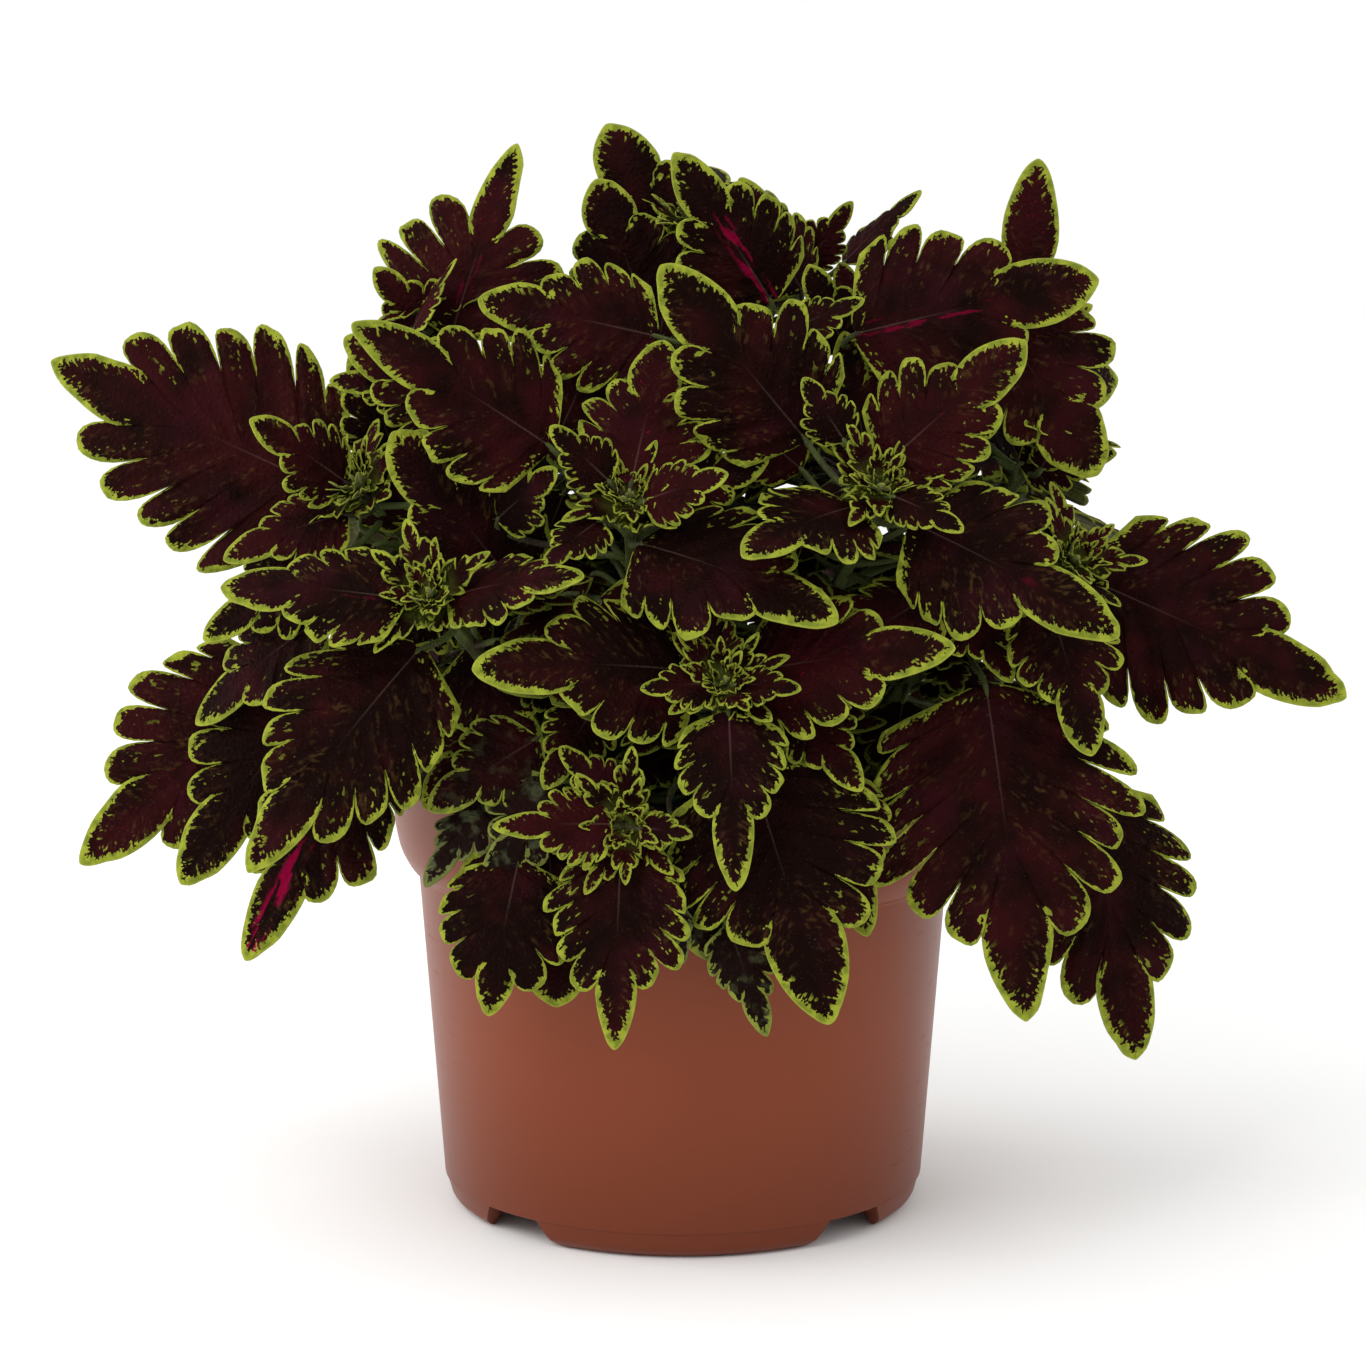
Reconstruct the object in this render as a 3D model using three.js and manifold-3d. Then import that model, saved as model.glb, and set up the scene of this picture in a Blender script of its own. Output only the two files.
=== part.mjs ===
// Coleus (Plectranthus scutellarioides) in a round plastic nursery pot.
// Millimetres, +Z up. The origin is on the pot's axis at the level that it stands on,
// and -Y is the plant's front.
import * as THREE from "three";
import { mergeVertices } from "three/addons/utils/BufferGeometryUtils.js";
import Module from "manifold-3d";

const wasm = await Module();
wasm.setup();

// ---------------------------------------------------------------- dimensions

const CLEARANCE = 0.3; // between pieces that lie against each other

// Pot: a tapered wall, a rounded collar that flares out, and a foot ring with four gaps.
const POT_SIDES = 36;
const POT_HEIGHT = 143;
const POT_WALL = 1.6;
const RIM_RADIUS = 95;
const WALL_TOP = { radius: 87, z: 112 };
const WALL_BOTTOM = { radius: 79.2, z: 8.6 };
const FOOT_RADIUS = 73.6;
const FLOOR_UNDERSIDE = 9;
const FLOOR_THICKNESS = 2;
const FOOT_GAP_HALF_WIDTH = { top: 11, bottom: 17 };
const DRAIN_HOLE = { radius: 5, ring: 52, count: 4 };

// Soil: fills the pot to just below the rim.
const SOIL_SIDES = 18;
const SOIL_TOP = 131;
const SOIL_RELIEF = 1.2;

// Stems: square in section, as in all the mint family, planted in the soil.
const STEM_BOTTOM = 117;
const STEM_STRAIGHT_TOP = 135;
const STEM_RADIUS = { root: 3.3, apex: 2.0 };
const STEM_STEPS = 5;

// Leaves: lengths are along the midrib, without the stalk.
const BLADE_THICKNESS = 0.9;
const STALK_RADIUS = { stem: 1.1, blade: 0.8 };
const SHORT_STALK = 15;
const CUP = -0.3; // how far the two sides of a blade fall below its midrib
const BEND_STEP = 4;
const BEND_ORDER = [0, 1, -1, 2, -2, 3, -3, 4, -4, 5, -5, 6, -6];
const LEAF_SPACING = 0.35; // thickness added to each face while a place is being looked for

// The blade's outline in leaf lengths, [along, across], at these parts of its lobed side:
// where the lobes' tips lie, and where the side veins to them leave the midrib.
const OUTLINE_PARTS = [0, 0.1, 0.3, 0.5, 0.7, 0.9, 1];
const LOBE_TIPS = [
  [0, 0.055],
  [0.1, 0.37],
  [0.28, 0.39],
  [0.45, 0.35],
  [0.61, 0.28],
  [0.75, 0.18],
  [0.8, 0.14],
];
const VEIN_ROOTS = [0, 0.03, 0.1, 0.21, 0.36, 0.52, 0.6];
const SINUS_DEPTH = { round: 0.38, pointed: 0.3 }; // of the way from a lobe's tip to its vein's root
const LOBE_ROUNDNESS = 2.2;
const TIP_LOBE_SWELL = 0.22;

// ---------------------------------------------------------------- shared solids

const vector = (x, y, z) => new THREE.Vector3(x, y, z);

// A closed three.js geometry as a solid.
function solidOf(geometry) {
  const bare = new THREE.BufferGeometry();
  bare.setAttribute("position", geometry.getAttribute("position"));
  bare.setIndex(geometry.index);
  const merged = mergeVertices(bare, 1e-3);
  const corners = merged.index.array;
  const kept = [];
  for (let i = 0; i < corners.length; i += 3) {
    const [a, b, c] = [corners[i], corners[i + 1], corners[i + 2]];
    if (a !== b && b !== c && c !== a) kept.push(a, b, c);
  }
  return new wasm.Manifold(
    new wasm.Mesh({
      numProp: 3,
      vertProperties: merged.getAttribute("position").array,
      triVerts: new Uint32Array(kept),
    }),
  );
}

// A closed geometry from a list of points and a list of triangles' corner numbers.
function closedGeometry(points, triangles) {
  const geometry = new THREE.BufferGeometry().setFromPoints(points);
  geometry.setIndex(triangles);
  return geometry;
}

// A profile of [radius, z] pairs, walked with the material on its left, turned about the Z axis.
function turned(profile, sides) {
  const points = profile.map(([radius, z]) => new THREE.Vector2(radius, z));
  points.push(points[0].clone());
  return new THREE.LatheGeometry(points, sides).rotateX(Math.PI / 2);
}

// A rod along a line of points, with a radius for each and its section turned to face `side`.
function rod(points, radii, sides, side) {
  const corners = [];
  points.forEach((point, i) => {
    const before = points[Math.max(i - 1, 0)];
    const after = points[Math.min(i + 1, points.length - 1)];
    const along = after.clone().sub(before).normalize();
    const across = side.clone().addScaledVector(along, -side.dot(along)).normalize();
    const up = along.clone().cross(across);
    for (let k = 0; k < sides; k++) {
      const angle = (2 * Math.PI * (k + 0.5)) / sides;
      corners.push(
        point
          .clone()
          .addScaledVector(across, radii[i] * Math.cos(angle))
          .addScaledVector(up, radii[i] * Math.sin(angle)),
      );
    }
  });
  const triangles = [];
  for (let i = 0; i + 1 < points.length; i++) {
    for (let k = 0; k < sides; k++) {
      const a = i * sides + k;
      const b = i * sides + ((k + 1) % sides);
      triangles.push(a, b, b + sides, a, b + sides, a + sides);
    }
  }
  const last = (points.length - 1) * sides;
  for (let k = 1; k + 1 < sides; k++) {
    triangles.push(0, k + 1, k, last, last + k, last + k + 1);
  }
  return closedGeometry(corners, triangles);
}

// The one body that matters of a solid: loose scraps and sealed hollows are left behind.
function mainBody(solid) {
  return solid.decompose().reduce((best, body) => (body.volume() > best.volume() ? body : best));
}

function meshOf(name, solid, material) {
  const { vertProperties, triVerts, numProp } = mainBody(solid).getMesh();
  const geometry = new THREE.BufferGeometry();
  const positions = new Float32Array((vertProperties.length / numProp) * 3);
  for (let i = 0; i < positions.length / 3; i++) {
    positions.set(vertProperties.subarray(i * numProp, i * numProp + 3), i * 3);
  }
  geometry.setAttribute("position", new THREE.BufferAttribute(positions, 3));
  geometry.setIndex(Array.from(triVerts));
  geometry.computeVertexNormals();
  const mesh = new THREE.Mesh(geometry, material);
  mesh.name = name;
  return mesh;
}

// ---------------------------------------------------------------- pot

function pot() {
  const wallInside = WALL_TOP.radius - POT_WALL;
  const rimInside = RIM_RADIUS - POT_WALL;
  const floorTop = FLOOR_UNDERSIDE + FLOOR_THICKNESS;
  const footInside = FOOT_RADIUS - POT_WALL;
  const profile = [
    [0, FLOOR_UNDERSIDE],
    [footInside, FLOOR_UNDERSIDE],
    [footInside, 0],
    [FOOT_RADIUS, 0],
    [FOOT_RADIUS + 3.4, 2.4],
    [WALL_BOTTOM.radius - 0.6, WALL_BOTTOM.z],
    [WALL_BOTTOM.radius, WALL_BOTTOM.z],
    [WALL_TOP.radius, WALL_TOP.z],
    [WALL_TOP.radius + 3, WALL_TOP.z + 2.5],
    [RIM_RADIUS - 2, WALL_TOP.z + 8],
    [RIM_RADIUS, WALL_TOP.z + 17],
    [RIM_RADIUS, POT_HEIGHT],
    [rimInside, POT_HEIGHT],
    [rimInside, WALL_TOP.z + 16],
    [wallInside, WALL_TOP.z + 3],
    [WALL_BOTTOM.radius - POT_WALL, floorTop],
    [0, floorTop],
  ];
  let solid = solidOf(turned(profile, POT_SIDES));
  for (let gap = 0; gap < 4; gap++) {
    solid = solid.subtract(solidOf(footGap((gap + 0.5) * (Math.PI / 2))));
  }
  for (let hole = 0; hole < DRAIN_HOLE.count; hole++) {
    const angle = (2 * Math.PI * hole) / DRAIN_HOLE.count;
    const cutter = new THREE.CylinderGeometry(DRAIN_HOLE.radius, DRAIN_HOLE.radius, 3 * FLOOR_THICKNESS, 10)
      .rotateX(Math.PI / 2)
      .translate(
        DRAIN_HOLE.ring * Math.cos(angle),
        DRAIN_HOLE.ring * Math.sin(angle),
        FLOOR_UNDERSIDE + FLOOR_THICKNESS / 2,
      );
    solid = solid.subtract(solidOf(cutter));
  }
  return solid;
}

// What is cut out of the foot ring between two feet: wider at the ground than under the wall.
function footGap(angle) {
  const inner = FOOT_RADIUS - 4 * POT_WALL;
  const outer = WALL_BOTTOM.radius + 2 * POT_WALL;
  const depth = outer - inner;
  const block = new THREE.BoxGeometry(depth, 2, WALL_BOTTOM.z + 1);
  const corners = block.getAttribute("position");
  for (let i = 0; i < corners.count; i++) {
    const half = corners.getZ(i) > 0 ? FOOT_GAP_HALF_WIDTH.top : FOOT_GAP_HALF_WIDTH.bottom;
    corners.setY(i, Math.sign(corners.getY(i)) * half);
  }
  return block.translate(inner + depth / 2, 0, (WALL_BOTTOM.z - 1) / 2).rotateZ(angle);
}

// ---------------------------------------------------------------- soil

function soil(shoots) {
  const floorTop = FLOOR_UNDERSIDE + FLOOR_THICKNESS;
  const inside = POT_WALL + CLEARANCE;
  const profile = [
    [0, floorTop + CLEARANCE],
    [WALL_BOTTOM.radius - inside, floorTop + CLEARANCE],
    [WALL_TOP.radius - inside, WALL_TOP.z + 3 + CLEARANCE],
    [RIM_RADIUS - inside, WALL_TOP.z + 16 + CLEARANCE],
    [RIM_RADIUS - inside, SOIL_TOP - 1],
    [70, SOIL_TOP],
    [35, SOIL_TOP],
    [0, SOIL_TOP],
  ];
  const block = turned(profile, SOIL_SIDES);
  const points = block.getAttribute("position");
  for (let i = 0; i < points.count; i++) {
    const [x, y, z] = [points.getX(i), points.getY(i), points.getZ(i)];
    if (z > SOIL_TOP - 0.1) {
      points.setZ(i, SOIL_TOP + SOIL_RELIEF * Math.sin(0.13 * x + 1) * Math.cos(0.11 * y));
    }
  }
  let solid = solidOf(block);
  for (const shoot of shoots) {
    const [x, y] = shoot.root;
    const hole = rod(
      [vector(x, y, STEM_BOTTOM - CLEARANCE), vector(x, y, SOIL_TOP + 10)],
      Array(2).fill(STEM_RADIUS.root + CLEARANCE * Math.SQRT2),
      4,
      vector(1, 0, 0),
    );
    solid = solid.subtract(solidOf(hole));
  }
  return solid;
}

// ---------------------------------------------------------------- leaf

// A value between the entries of a table that go with OUTLINE_PARTS.
function alongOutline(table, part) {
  let i = 0;
  while (i < OUTLINE_PARTS.length - 2 && part > OUTLINE_PARTS[i + 1]) i++;
  const share = (part - OUTLINE_PARTS[i]) / (OUTLINE_PARTS[i + 1] - OUTLINE_PARTS[i]);
  return table[i] + share * (table[i + 1] - table[i]);
}

// The outline of one side: [along, across, vein] from the stalk to the tip lobe. Each lobe swells
// from one sinus to the next, and the last entries are the side of the pointed tip lobe.
function outlineOfSide(lobes, pointsInLobe) {
  const side = [];
  const sinusDepth = pointsInLobe.length > 1 ? SINUS_DEPTH.round : SINUS_DEPTH.pointed;
  const add = (lobe, within) => {
    const part = (lobe + within) / lobes;
    const x = Math.abs(2 * within - 1);
    const bulge = (1 - x ** LOBE_ROUNDNESS) ** (1 / LOBE_ROUNDNESS);
    const reach = 1 - sinusDepth * (1 - bulge);
    const root = alongOutline(VEIN_ROOTS, part);
    const tipAlong = alongOutline(LOBE_TIPS.map((tip) => tip[0]), part);
    const tipAcross = alongOutline(LOBE_TIPS.map((tip) => tip[1]), part);
    side.push([root + reach * (tipAlong - root), reach * tipAcross, Math.floor(lobe / 2)]);
  };
  for (let lobe = 0; lobe < lobes; lobe++) {
    add(lobe, 0);
    pointsInLobe.forEach((within) => add(lobe, within));
  }
  add(lobes - 1, 1);
  const [lastAlong, lastAcross] = side[side.length - 1];
  const t = 0.33;
  side.push([
    lastAlong + t * (1 - lastAlong),
    lastAcross * (1 - t) + TIP_LOBE_SWELL * t * (1 - t) ** 1.1,
    Math.floor(lobes / 2),
  ]);
  return side;
}

// A leaf held at its base and tip, its face turned towards `facing`, bent and shortened.
function placedLeaf(leaf, bend, size) {
  const base = leaf.base.clone().addScaledVector(leaf.away, 0.3 * bend * leaf.step);
  const tip = leaf.base.clone().lerp(leaf.tip, size).addScaledVector(leaf.away, bend * leaf.step);
  const chord = tip.clone().sub(base);
  const length = chord.length();
  const side = chord.clone().cross(leaf.facing).normalize();
  const normal = side.clone().cross(chord).normalize();
  const middle = base.clone().lerp(tip, 0.5).addScaledVector(normal, leaf.arch * length);
  return { ...leaf, length, side, midrib: new THREE.QuadraticBezierCurve3(base, middle, tip) };
}

// A point of a placed leaf: along and across in leaf lengths, lift in mm off its middle surface.
function leafPoint(leaf, along, across, lift) {
  const normal = leaf.side.clone().cross(leaf.midrib.getTangent(along)).normalize();
  return leaf.midrib
    .getPoint(along)
    .addScaledVector(leaf.side, across * leaf.width * leaf.length)
    .addScaledVector(normal, leaf.cup * across * across * leaf.length + lift);
}

// A leaf as one closed skin. The blade has the same triangles on both faces, from the midrib out to
// the lobed edge, and a rim; the stalk's last ring of corners is the blade's base.
function leafSolid(leaf, extra) {
  const side = outlineOfSide(leaf.lobes, leaf.lobes > 4 ? [0.22, 0.78] : [0.5]);
  const veins = [];
  for (let lobe = 1; lobe <= leaf.lobes + 1; lobe += 2) {
    veins.push([alongOutline(VEIN_ROOTS, Math.min(lobe / leaf.lobes, 1)), 0]);
  }
  const right = side.map(([along, across]) => [along, across]);
  const left = side.map(([along, across]) => [along, -across]).reverse();
  const edge = [...right, [1, 0], ...left];
  const flat = [...veins, ...edge];
  const under = flat.length;
  const first = veins.length;
  const last = under - 1;
  const face = [];
  for (let i = 0; i < side.length; i++) {
    const vein = side[i][2];
    const next = i + 1 < side.length ? side[i + 1][2] : vein;
    face.push(vein, first + i, first + i + 1, vein, last - i - 1, last - i);
    if (next !== vein) face.push(vein, first + i + 1, next, vein, next, last - i - 1);
  }
  face.push(0, last, first);
  const points = [];
  const half = BLADE_THICKNESS / 2 + extra;
  for (const lift of [half, -half]) {
    flat.forEach(([along, across]) => points.push(leafPoint(leaf, along, across, lift)));
  }
  const triangles = [];
  for (let i = 0; i < face.length; i += 3) {
    const [a, b, c] = face.slice(i, i + 3);
    triangles.push(a, b, c, a + under, c + under, b + under);
  }
  const quad = (a, b, c, d) => triangles.push(a, b, c, a, c, d);
  for (let a = first; a < last; a++) quad(a, a + under, a + under + 1, a + 1);
  if (leaf.joint) {
    addStalk(leaf, extra, points, quad, [last, first, first + under, last + under]);
  } else {
    quad(last, last + under, first + under, first);
  }
  return solidOf(closedGeometry(points, triangles));
}

// The stalk, from the corners of the blade's base to the joint with the stem: a long one sags.
function addStalk(leaf, extra, points, quad, base) {
  const end = leaf.midrib.getPoint(0);
  const way = leaf.joint.clone().sub(end).normalize();
  const across = leaf.side.clone().addScaledVector(way, -leaf.side.dot(way)).normalize();
  const up = way.clone().cross(across);
  const rings = [{ centre: leaf.joint, radius: STALK_RADIUS.stem }];
  if (end.distanceTo(leaf.joint) > SHORT_STALK) {
    const sag = vector(0, 0, -0.04 * leaf.length);
    rings.unshift({ centre: end.clone().lerp(leaf.joint, 0.4).add(sag), radius: STALK_RADIUS.blade });
  }
  let corners = base;
  for (const { centre, radius } of rings) {
    const start = points.length;
    for (const [x, y] of [[-1, 1], [1, 1], [1, -1], [-1, -1]]) {
      points.push(
        centre
          .clone()
          .addScaledVector(across, x * (radius + extra))
          .addScaledVector(up, y * (radius + extra)),
      );
    }
    const ring = [0, 1, 2, 3].map((corner) => start + corner);
    for (let i = 0; i < 4; i++) {
      const j = (i + 1) % 4;
      quad(corners[j], corners[i], ring[i], ring[j]);
    }
    corners = ring;
  }
  quad(corners[3], corners[2], corners[1], corners[0]);
}

// ---------------------------------------------------------------- shoots

// Each shoot has the place of its root in the soil, the centre of its youngest leaves (apex), the
// way those face (aim), and its grown leaves, one per line: the base of the blade, its tip, the
// way its face is turned (degrees from the front towards +X, then upwards), its arch, and its
// width where it isn't the usual one. The leaves behind the stem are given by their heading
// (degrees from +X towards the back) and rise, their length, and how far up the stem they are.
const SHOOTS = [
  {
    name: "crown", root: [4, 14], apex: [4, 15, 322], aim: [0, -0.3, 1],
    leaves: [
      [-9, -34, 291, -65, -30, 302, 0, 20, 0.06],
      [2, 16, 301, -25, 26, 353, 0, 20, 0.05, 1.1],
      [-12, 0, 295, -36, 6, 331, -15, 35, 0.05, 1.2],
      [28, -14, 300, -3, -24, 348, 5, 15, 0.06],
      [40, 12, 309, 55, 14, 329, 40, 30, 0.05],
      [53, 24, 308, 78, 30, 331, 10, 75, 0.03, 0.7],
      [38, 4, 301, 18, 0, 337, 20, 30, 0.05],
      [35, 22, 296, 27, 14, 333, 150, 20, 0.05],
    ],
    behind: [
      [95, 15, 64, 0.94],
      [20, 0, 66, 0.86],
      [165, -5, 68, 0.84],
      [60, -20, 72, 0.72],
    ],
  },
  {
    name: "crown_left", root: [-20, 6], apex: [-78, 0, 298], aim: [-0.3, -0.3, 1],
    leaves: [
      [-74, -12, 289, -53, -2, 349, -15, 20, 0.06, 1.2],
      [-86, -18, 291, -72, -20, 314, -75, 20, 0.05, 0.8],
      [-81, -20, 272, -113, -22, 275, -10, 30, 0.08],
    ],
    behind: [
      [75, -5, 58, 0.92],
      [110, -25, 66, 0.75],
    ],
  },
  {
    name: "crown_right", root: [24, 6], apex: [75, 6, 288], aim: [0.3, -0.1, 1],
    leaves: [
      [55, -36, 292, 132, -26, 308, 0, 20, 0.05, 1.05],
      [111, 8, 309, 115, 12, 343, 0, 10, 0.04, 1.1],
      [34, -44, 294, 57, -46, 304, -10, 40, 0.05],
    ],
    behind: [
      [110, 0, 58, 0.92],
      [75, -25, 66, 0.75],
    ],
  },
  {
    name: "left_back", root: [-44, -10], apex: [-103, -38, 243], aim: [-0.5, -0.5, 0.7],
    leaves: [
      [-112, -10, 237, -207, 20, 276, -10, 12, 0.05],
      [-107, -40, 245, -136, -52, 267, -25, 40, 0.05],
      [-107, -42, 235, -145, -52, 222, -25, 35, 0.1],
      [-112, -45, 221, -152, -50, 196, -30, 20, 0.1],
      [-68, -30, 264, -108, -22, 289, -5, 20, 0.05],
      [-103, -30, 231, -81, -30, 260, 0, 20, 0.05],
    ],
    behind: [
      [110, -5, 60, 0.9],
    ],
  },
  {
    name: "left_low", root: [-46, -38], apex: [-78, -88, 217], aim: [-0.3, -0.7, 0.6],
    leaves: [
      [-86, -90, 216, -143, -85, 219, -10, 50, 0.08],
      [-71, -90, 217, -30, -112, 227, 5, 55, 0.08],
      [-82, -84, 199, -134, -108, 134, -15, 15, 0.12],
      [-114, -62, 205, -155, -72, 173, -45, 20, 0.1],
      [-99, -72, 168, -137, -88, 101, -25, 5, 0.08, 0.85],
      [-126, -38, 181, -194, -40, 121, -15, 5, 0.08],
      [-119, -50, 175, -160, -56, 118, -15, 10, 0.08],
      [-52, -48, 212, -91, -60, 264, -5, 15, 0.05],
      [-51, -66, 180, -81, -80, 148, -10, 15, 0.08],
      [-67, -60, 195, -45, -84, 161, 0, 20, 0.08],
    ],
    behind: [
      [150, -25, 64, 0.6],
    ],
  },
  {
    name: "middle", root: [-12, -30], apex: [-17, -72, 245], aim: [0, -0.65, 0.75],
    leaves: [
      [-42, -62, 260, -102, -76, 300, -5, 30, 0.06],
      [-16, -72, 250, -6, -45, 291, 0, 15, 0.08, 1.1],
      [-13, -76, 231, 47, -113, 213, 10, 40, 0.1],
      [-26, -80, 239, -43, -98, 227, -20, 35, 0.1],
      [-23, -76, 251, -41, -82, 269, -15, 30, 0.05],
      [-12, -78, 245, 14, -88, 255, 10, 35, 0.05],
      [-10, -62, 243, 27, -70, 258, 10, 20, 0.05],
      [-58, -50, 235, -39, -56, 251, -10, 20, 0.05],
      [-26, -64, 211, 5, -84, 199, 0, 25, 0.08],
      [-39, -30, 260, -20, -20, 301, -5, 15, 0.05],
      [12, -30, 260, 5, -20, 301, 5, 15, 0.05],
    ],
    behind: [
      [95, 5, 58, 0.85],
    ],
  },
  {
    name: "right", root: [28, -32], apex: [61, -74, 249], aim: [0.1, -0.65, 0.75],
    leaves: [
      [38, -60, 262, -7, -76, 318, -5, 15, 0.06],
      [63, -68, 255, 106, -72, 294, 5, 25, 0.05],
      [72, -74, 237, 134, -98, 206, 10, 25, 0.1],
      [53, -78, 243, 18, -112, 233, -15, 45, 0.1, 1.2],
      [50, -70, 263, 37, -74, 283, -10, 20, 0.05],
      [65, -82, 247, 86, -94, 238, 15, 35, 0.08],
      [76, -66, 212, 44, -92, 195, -5, 35, 0.1],
      [86, -58, 210, 103, -74, 187, 10, 30, 0.1],
      [58, -40, 253, 51, -30, 292, 0, 15, 0.05],
      [37, -50, 251, 10, -56, 275, -10, 20, 0.05],
    ],
    behind: [
      [70, 5, 58, 0.85],
    ],
  },
  {
    name: "front_middle", root: [8, -50], apex: [12, -104, 193], aim: [0, -0.8, 0.6],
    leaves: [
      [2, -92, 194, -64, -120, 200, -5, 35, 0.1],
      [19, -90, 193, 83, -112, 205, 5, 35, 0.08],
      [14, -108, 184, 16, -128, 133, 0, 10, 0.12, 0.9],
      [9, -108, 193, -13, -116, 193, -10, 40, 0.08],
      [16, -108, 193, 36, -116, 193, 10, 40, 0.08],
      [11, -100, 198, 7, -96, 218, 0, 20, 0.05],
      [21, -96, 164, 45, -124, 90, 0, 10, 0.1],
      [-26, -84, 183, -43, -98, 158, -10, 20, 0.08],
      [33, -84, 183, 55, -100, 158, 10, 20, 0.08],
    ],
    behind: [],
  },
  {
    name: "front_low", root: [-14, -60], apex: [-18, -112, 150], aim: [0, -1, 0.15],
    leaves: [
      [-19, -112, 142, -21, -128, 83, -5, 5, 0.08],
      [-51, -98, 135, -60, -114, 90, -10, 5, 0.08],
      [-22, -116, 151, -58, -124, 152, -5, 30, 0.06],
      [-13, -116, 150, 3, -122, 149, 5, 30, 0.06],
      [-19, -108, 155, -38, -100, 172, -10, 20, 0.05],
      [14, -108, 117, 26, -112, 83, 10, 0, 0.05, 0.8],
      [-3, -112, 125, 0, -116, 107, 30, 0, 0.2, 0.8],
      [-59, -80, 151, -80, -98, 127, -20, 30, 0.15, 0.8],
    ],
    behind: [],
  },
  {
    name: "right_back", root: [48, 0], apex: [118, -14, 257], aim: [0.4, -0.3, 0.85],
    leaves: [
      [91, -5, 267, 146, 60, 265, 0, 10, 0.05],
      [115, -18, 246, 121, -20, 260, 15, 30, 0.05],
      [109, -12, 247, 140, -10, 250, 5, 20, 0.05],
    ],
    behind: [
      [80, 0, 58, 0.92],
      [40, -30, 66, 0.75],
    ],
  },
  {
    name: "right_low", root: [54, -26], apex: [123, -50, 222], aim: [0.5, -0.6, 0.6],
    leaves: [
      [128, -30, 213, 211, -48, 177, 10, 15, 0.05],
      [95, -72, 184, 107, -98, 84, 5, 10, 0.1, 1.1],
      [128, -32, 144, 146, -48, 58, 25, 5, 0.08],
      [114, -64, 211, 127, -86, 166, 15, 20, 0.1],
    ],
    behind: [
      [75, -20, 62, 0.85],
    ],
  },
  { name: "back_left", root: [-38, 30], apex: [-86, 40, 240], aim: [-0.5, 0.4, 0.75], leaves: [] },
  { name: "back_middle", root: [0, 42], apex: [-5, 60, 262], aim: [0, 0.6, 0.8], leaves: [] },
  { name: "back_right", root: [36, 32], apex: [92, 40, 245], aim: [0.5, 0.4, 0.75], leaves: [] },
  { name: "back_low_left", root: [-34, 54], apex: [-50, 73, 176], aim: [-0.4, 0.8, 0.4], leaves: [] },
  { name: "back_low_right", root: [38, 54], apex: [54, 73, 180], aim: [0.4, 0.8, 0.4], leaves: [] },
];

// The same for a shoot at the back, with the heading counted from the shoot's own outward way.
const BACK_LEAVES = [
  [-50, 25, 56, 0.95],
  [50, 25, 56, 0.95],
  [0, -35, 62, 0.85],
  [-70, -30, 76, 0.7],
  [70, -30, 76, 0.7],
  [0, -65, 84, 0.55],
];
const BEHIND_STALK = 14;

// The young leaves around an apex, in crossed pairs: length, rise towards the aim, the distance
// of their bases below the apex, and their turn about the aim. A shoot deep in the plant has one.
const YOUNG_PAIRS = [
  { length: 23, rise: 25, below: 6, turn: 45 },
  { length: 14, rise: 55, below: 2, turn: 135 },
];

const radians = THREE.MathUtils.degToRad;

// A small seeded generator, so that each build draws the same numbers from 0 to 1.
let seed = 11;
function random() {
  seed = (seed * 16807) % 2147483647;
  return seed / 2147483647;
}

// The stem's centre line: upright in the soil, then bending over to the apex.
function stemLine(shoot) {
  const [x, y] = shoot.root;
  const start = vector(x, y, STEM_STRAIGHT_TOP);
  const apex = vector(...shoot.apex);
  const reach = start.distanceTo(apex);
  const aim = vector(...shoot.aim).normalize();
  return new THREE.CubicBezierCurve3(
    start,
    start.clone().add(vector(0, 0, 0.4 * reach)),
    apex.clone().addScaledVector(aim, -0.3 * reach),
    apex,
  );
}

function stem(shoot) {
  const [x, y] = shoot.root;
  const line = stemLine(shoot);
  const points = [vector(x, y, STEM_BOTTOM), ...line.getPoints(STEM_STEPS)];
  const { root, apex } = STEM_RADIUS;
  const radii = points.map((_, i) => root + (apex - root) * Math.max(i - 1, 0) / STEM_STEPS);
  return solidOf(rod(points, radii, 4, vector(1, 0, 0)));
}

// The point of the stem that a stalk springs from: the one nearest to a little below its blade.
function jointOn(line, base) {
  const wanted = base.clone().add(vector(0, 0, -10));
  const points = line.getPoints(24);
  return points.reduce((best, point) => (point.distanceTo(wanted) < best.distanceTo(wanted) ? point : best));
}

// The lobes on each side of a blade: fewer on a shorter one.
function lobesFor(length) {
  if (length > 75) return 5;
  if (length > 50) return 4;
  return length > 30 ? 3 : 2;
}

function leafOf(base, tip, facing, options) {
  const lobes = lobesFor(base.distanceTo(tip));
  const usual = { lobes, arch: 0.06, width: 1, cup: CUP, step: BEND_STEP, sizes: [1] };
  return { base, tip, facing, ...usual, ...options };
}

function frontLeaves(shoot) {
  const line = stemLine(shoot);
  return shoot.leaves.map(([bx, by, bz, tx, ty, tz, turn, rise, arch, width = 1]) => {
    const base = vector(bx, by, bz);
    const [a, e] = [radians(turn), radians(rise)];
    const facing = vector(Math.sin(a) * Math.cos(e), -Math.cos(a) * Math.cos(e), Math.sin(e));
    const away = vector(0, -0.98, 0.19);
    return leafOf(base, vector(tx, ty, tz), facing, { arch, width, away, joint: jointOn(line, base) });
  });
}

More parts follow.
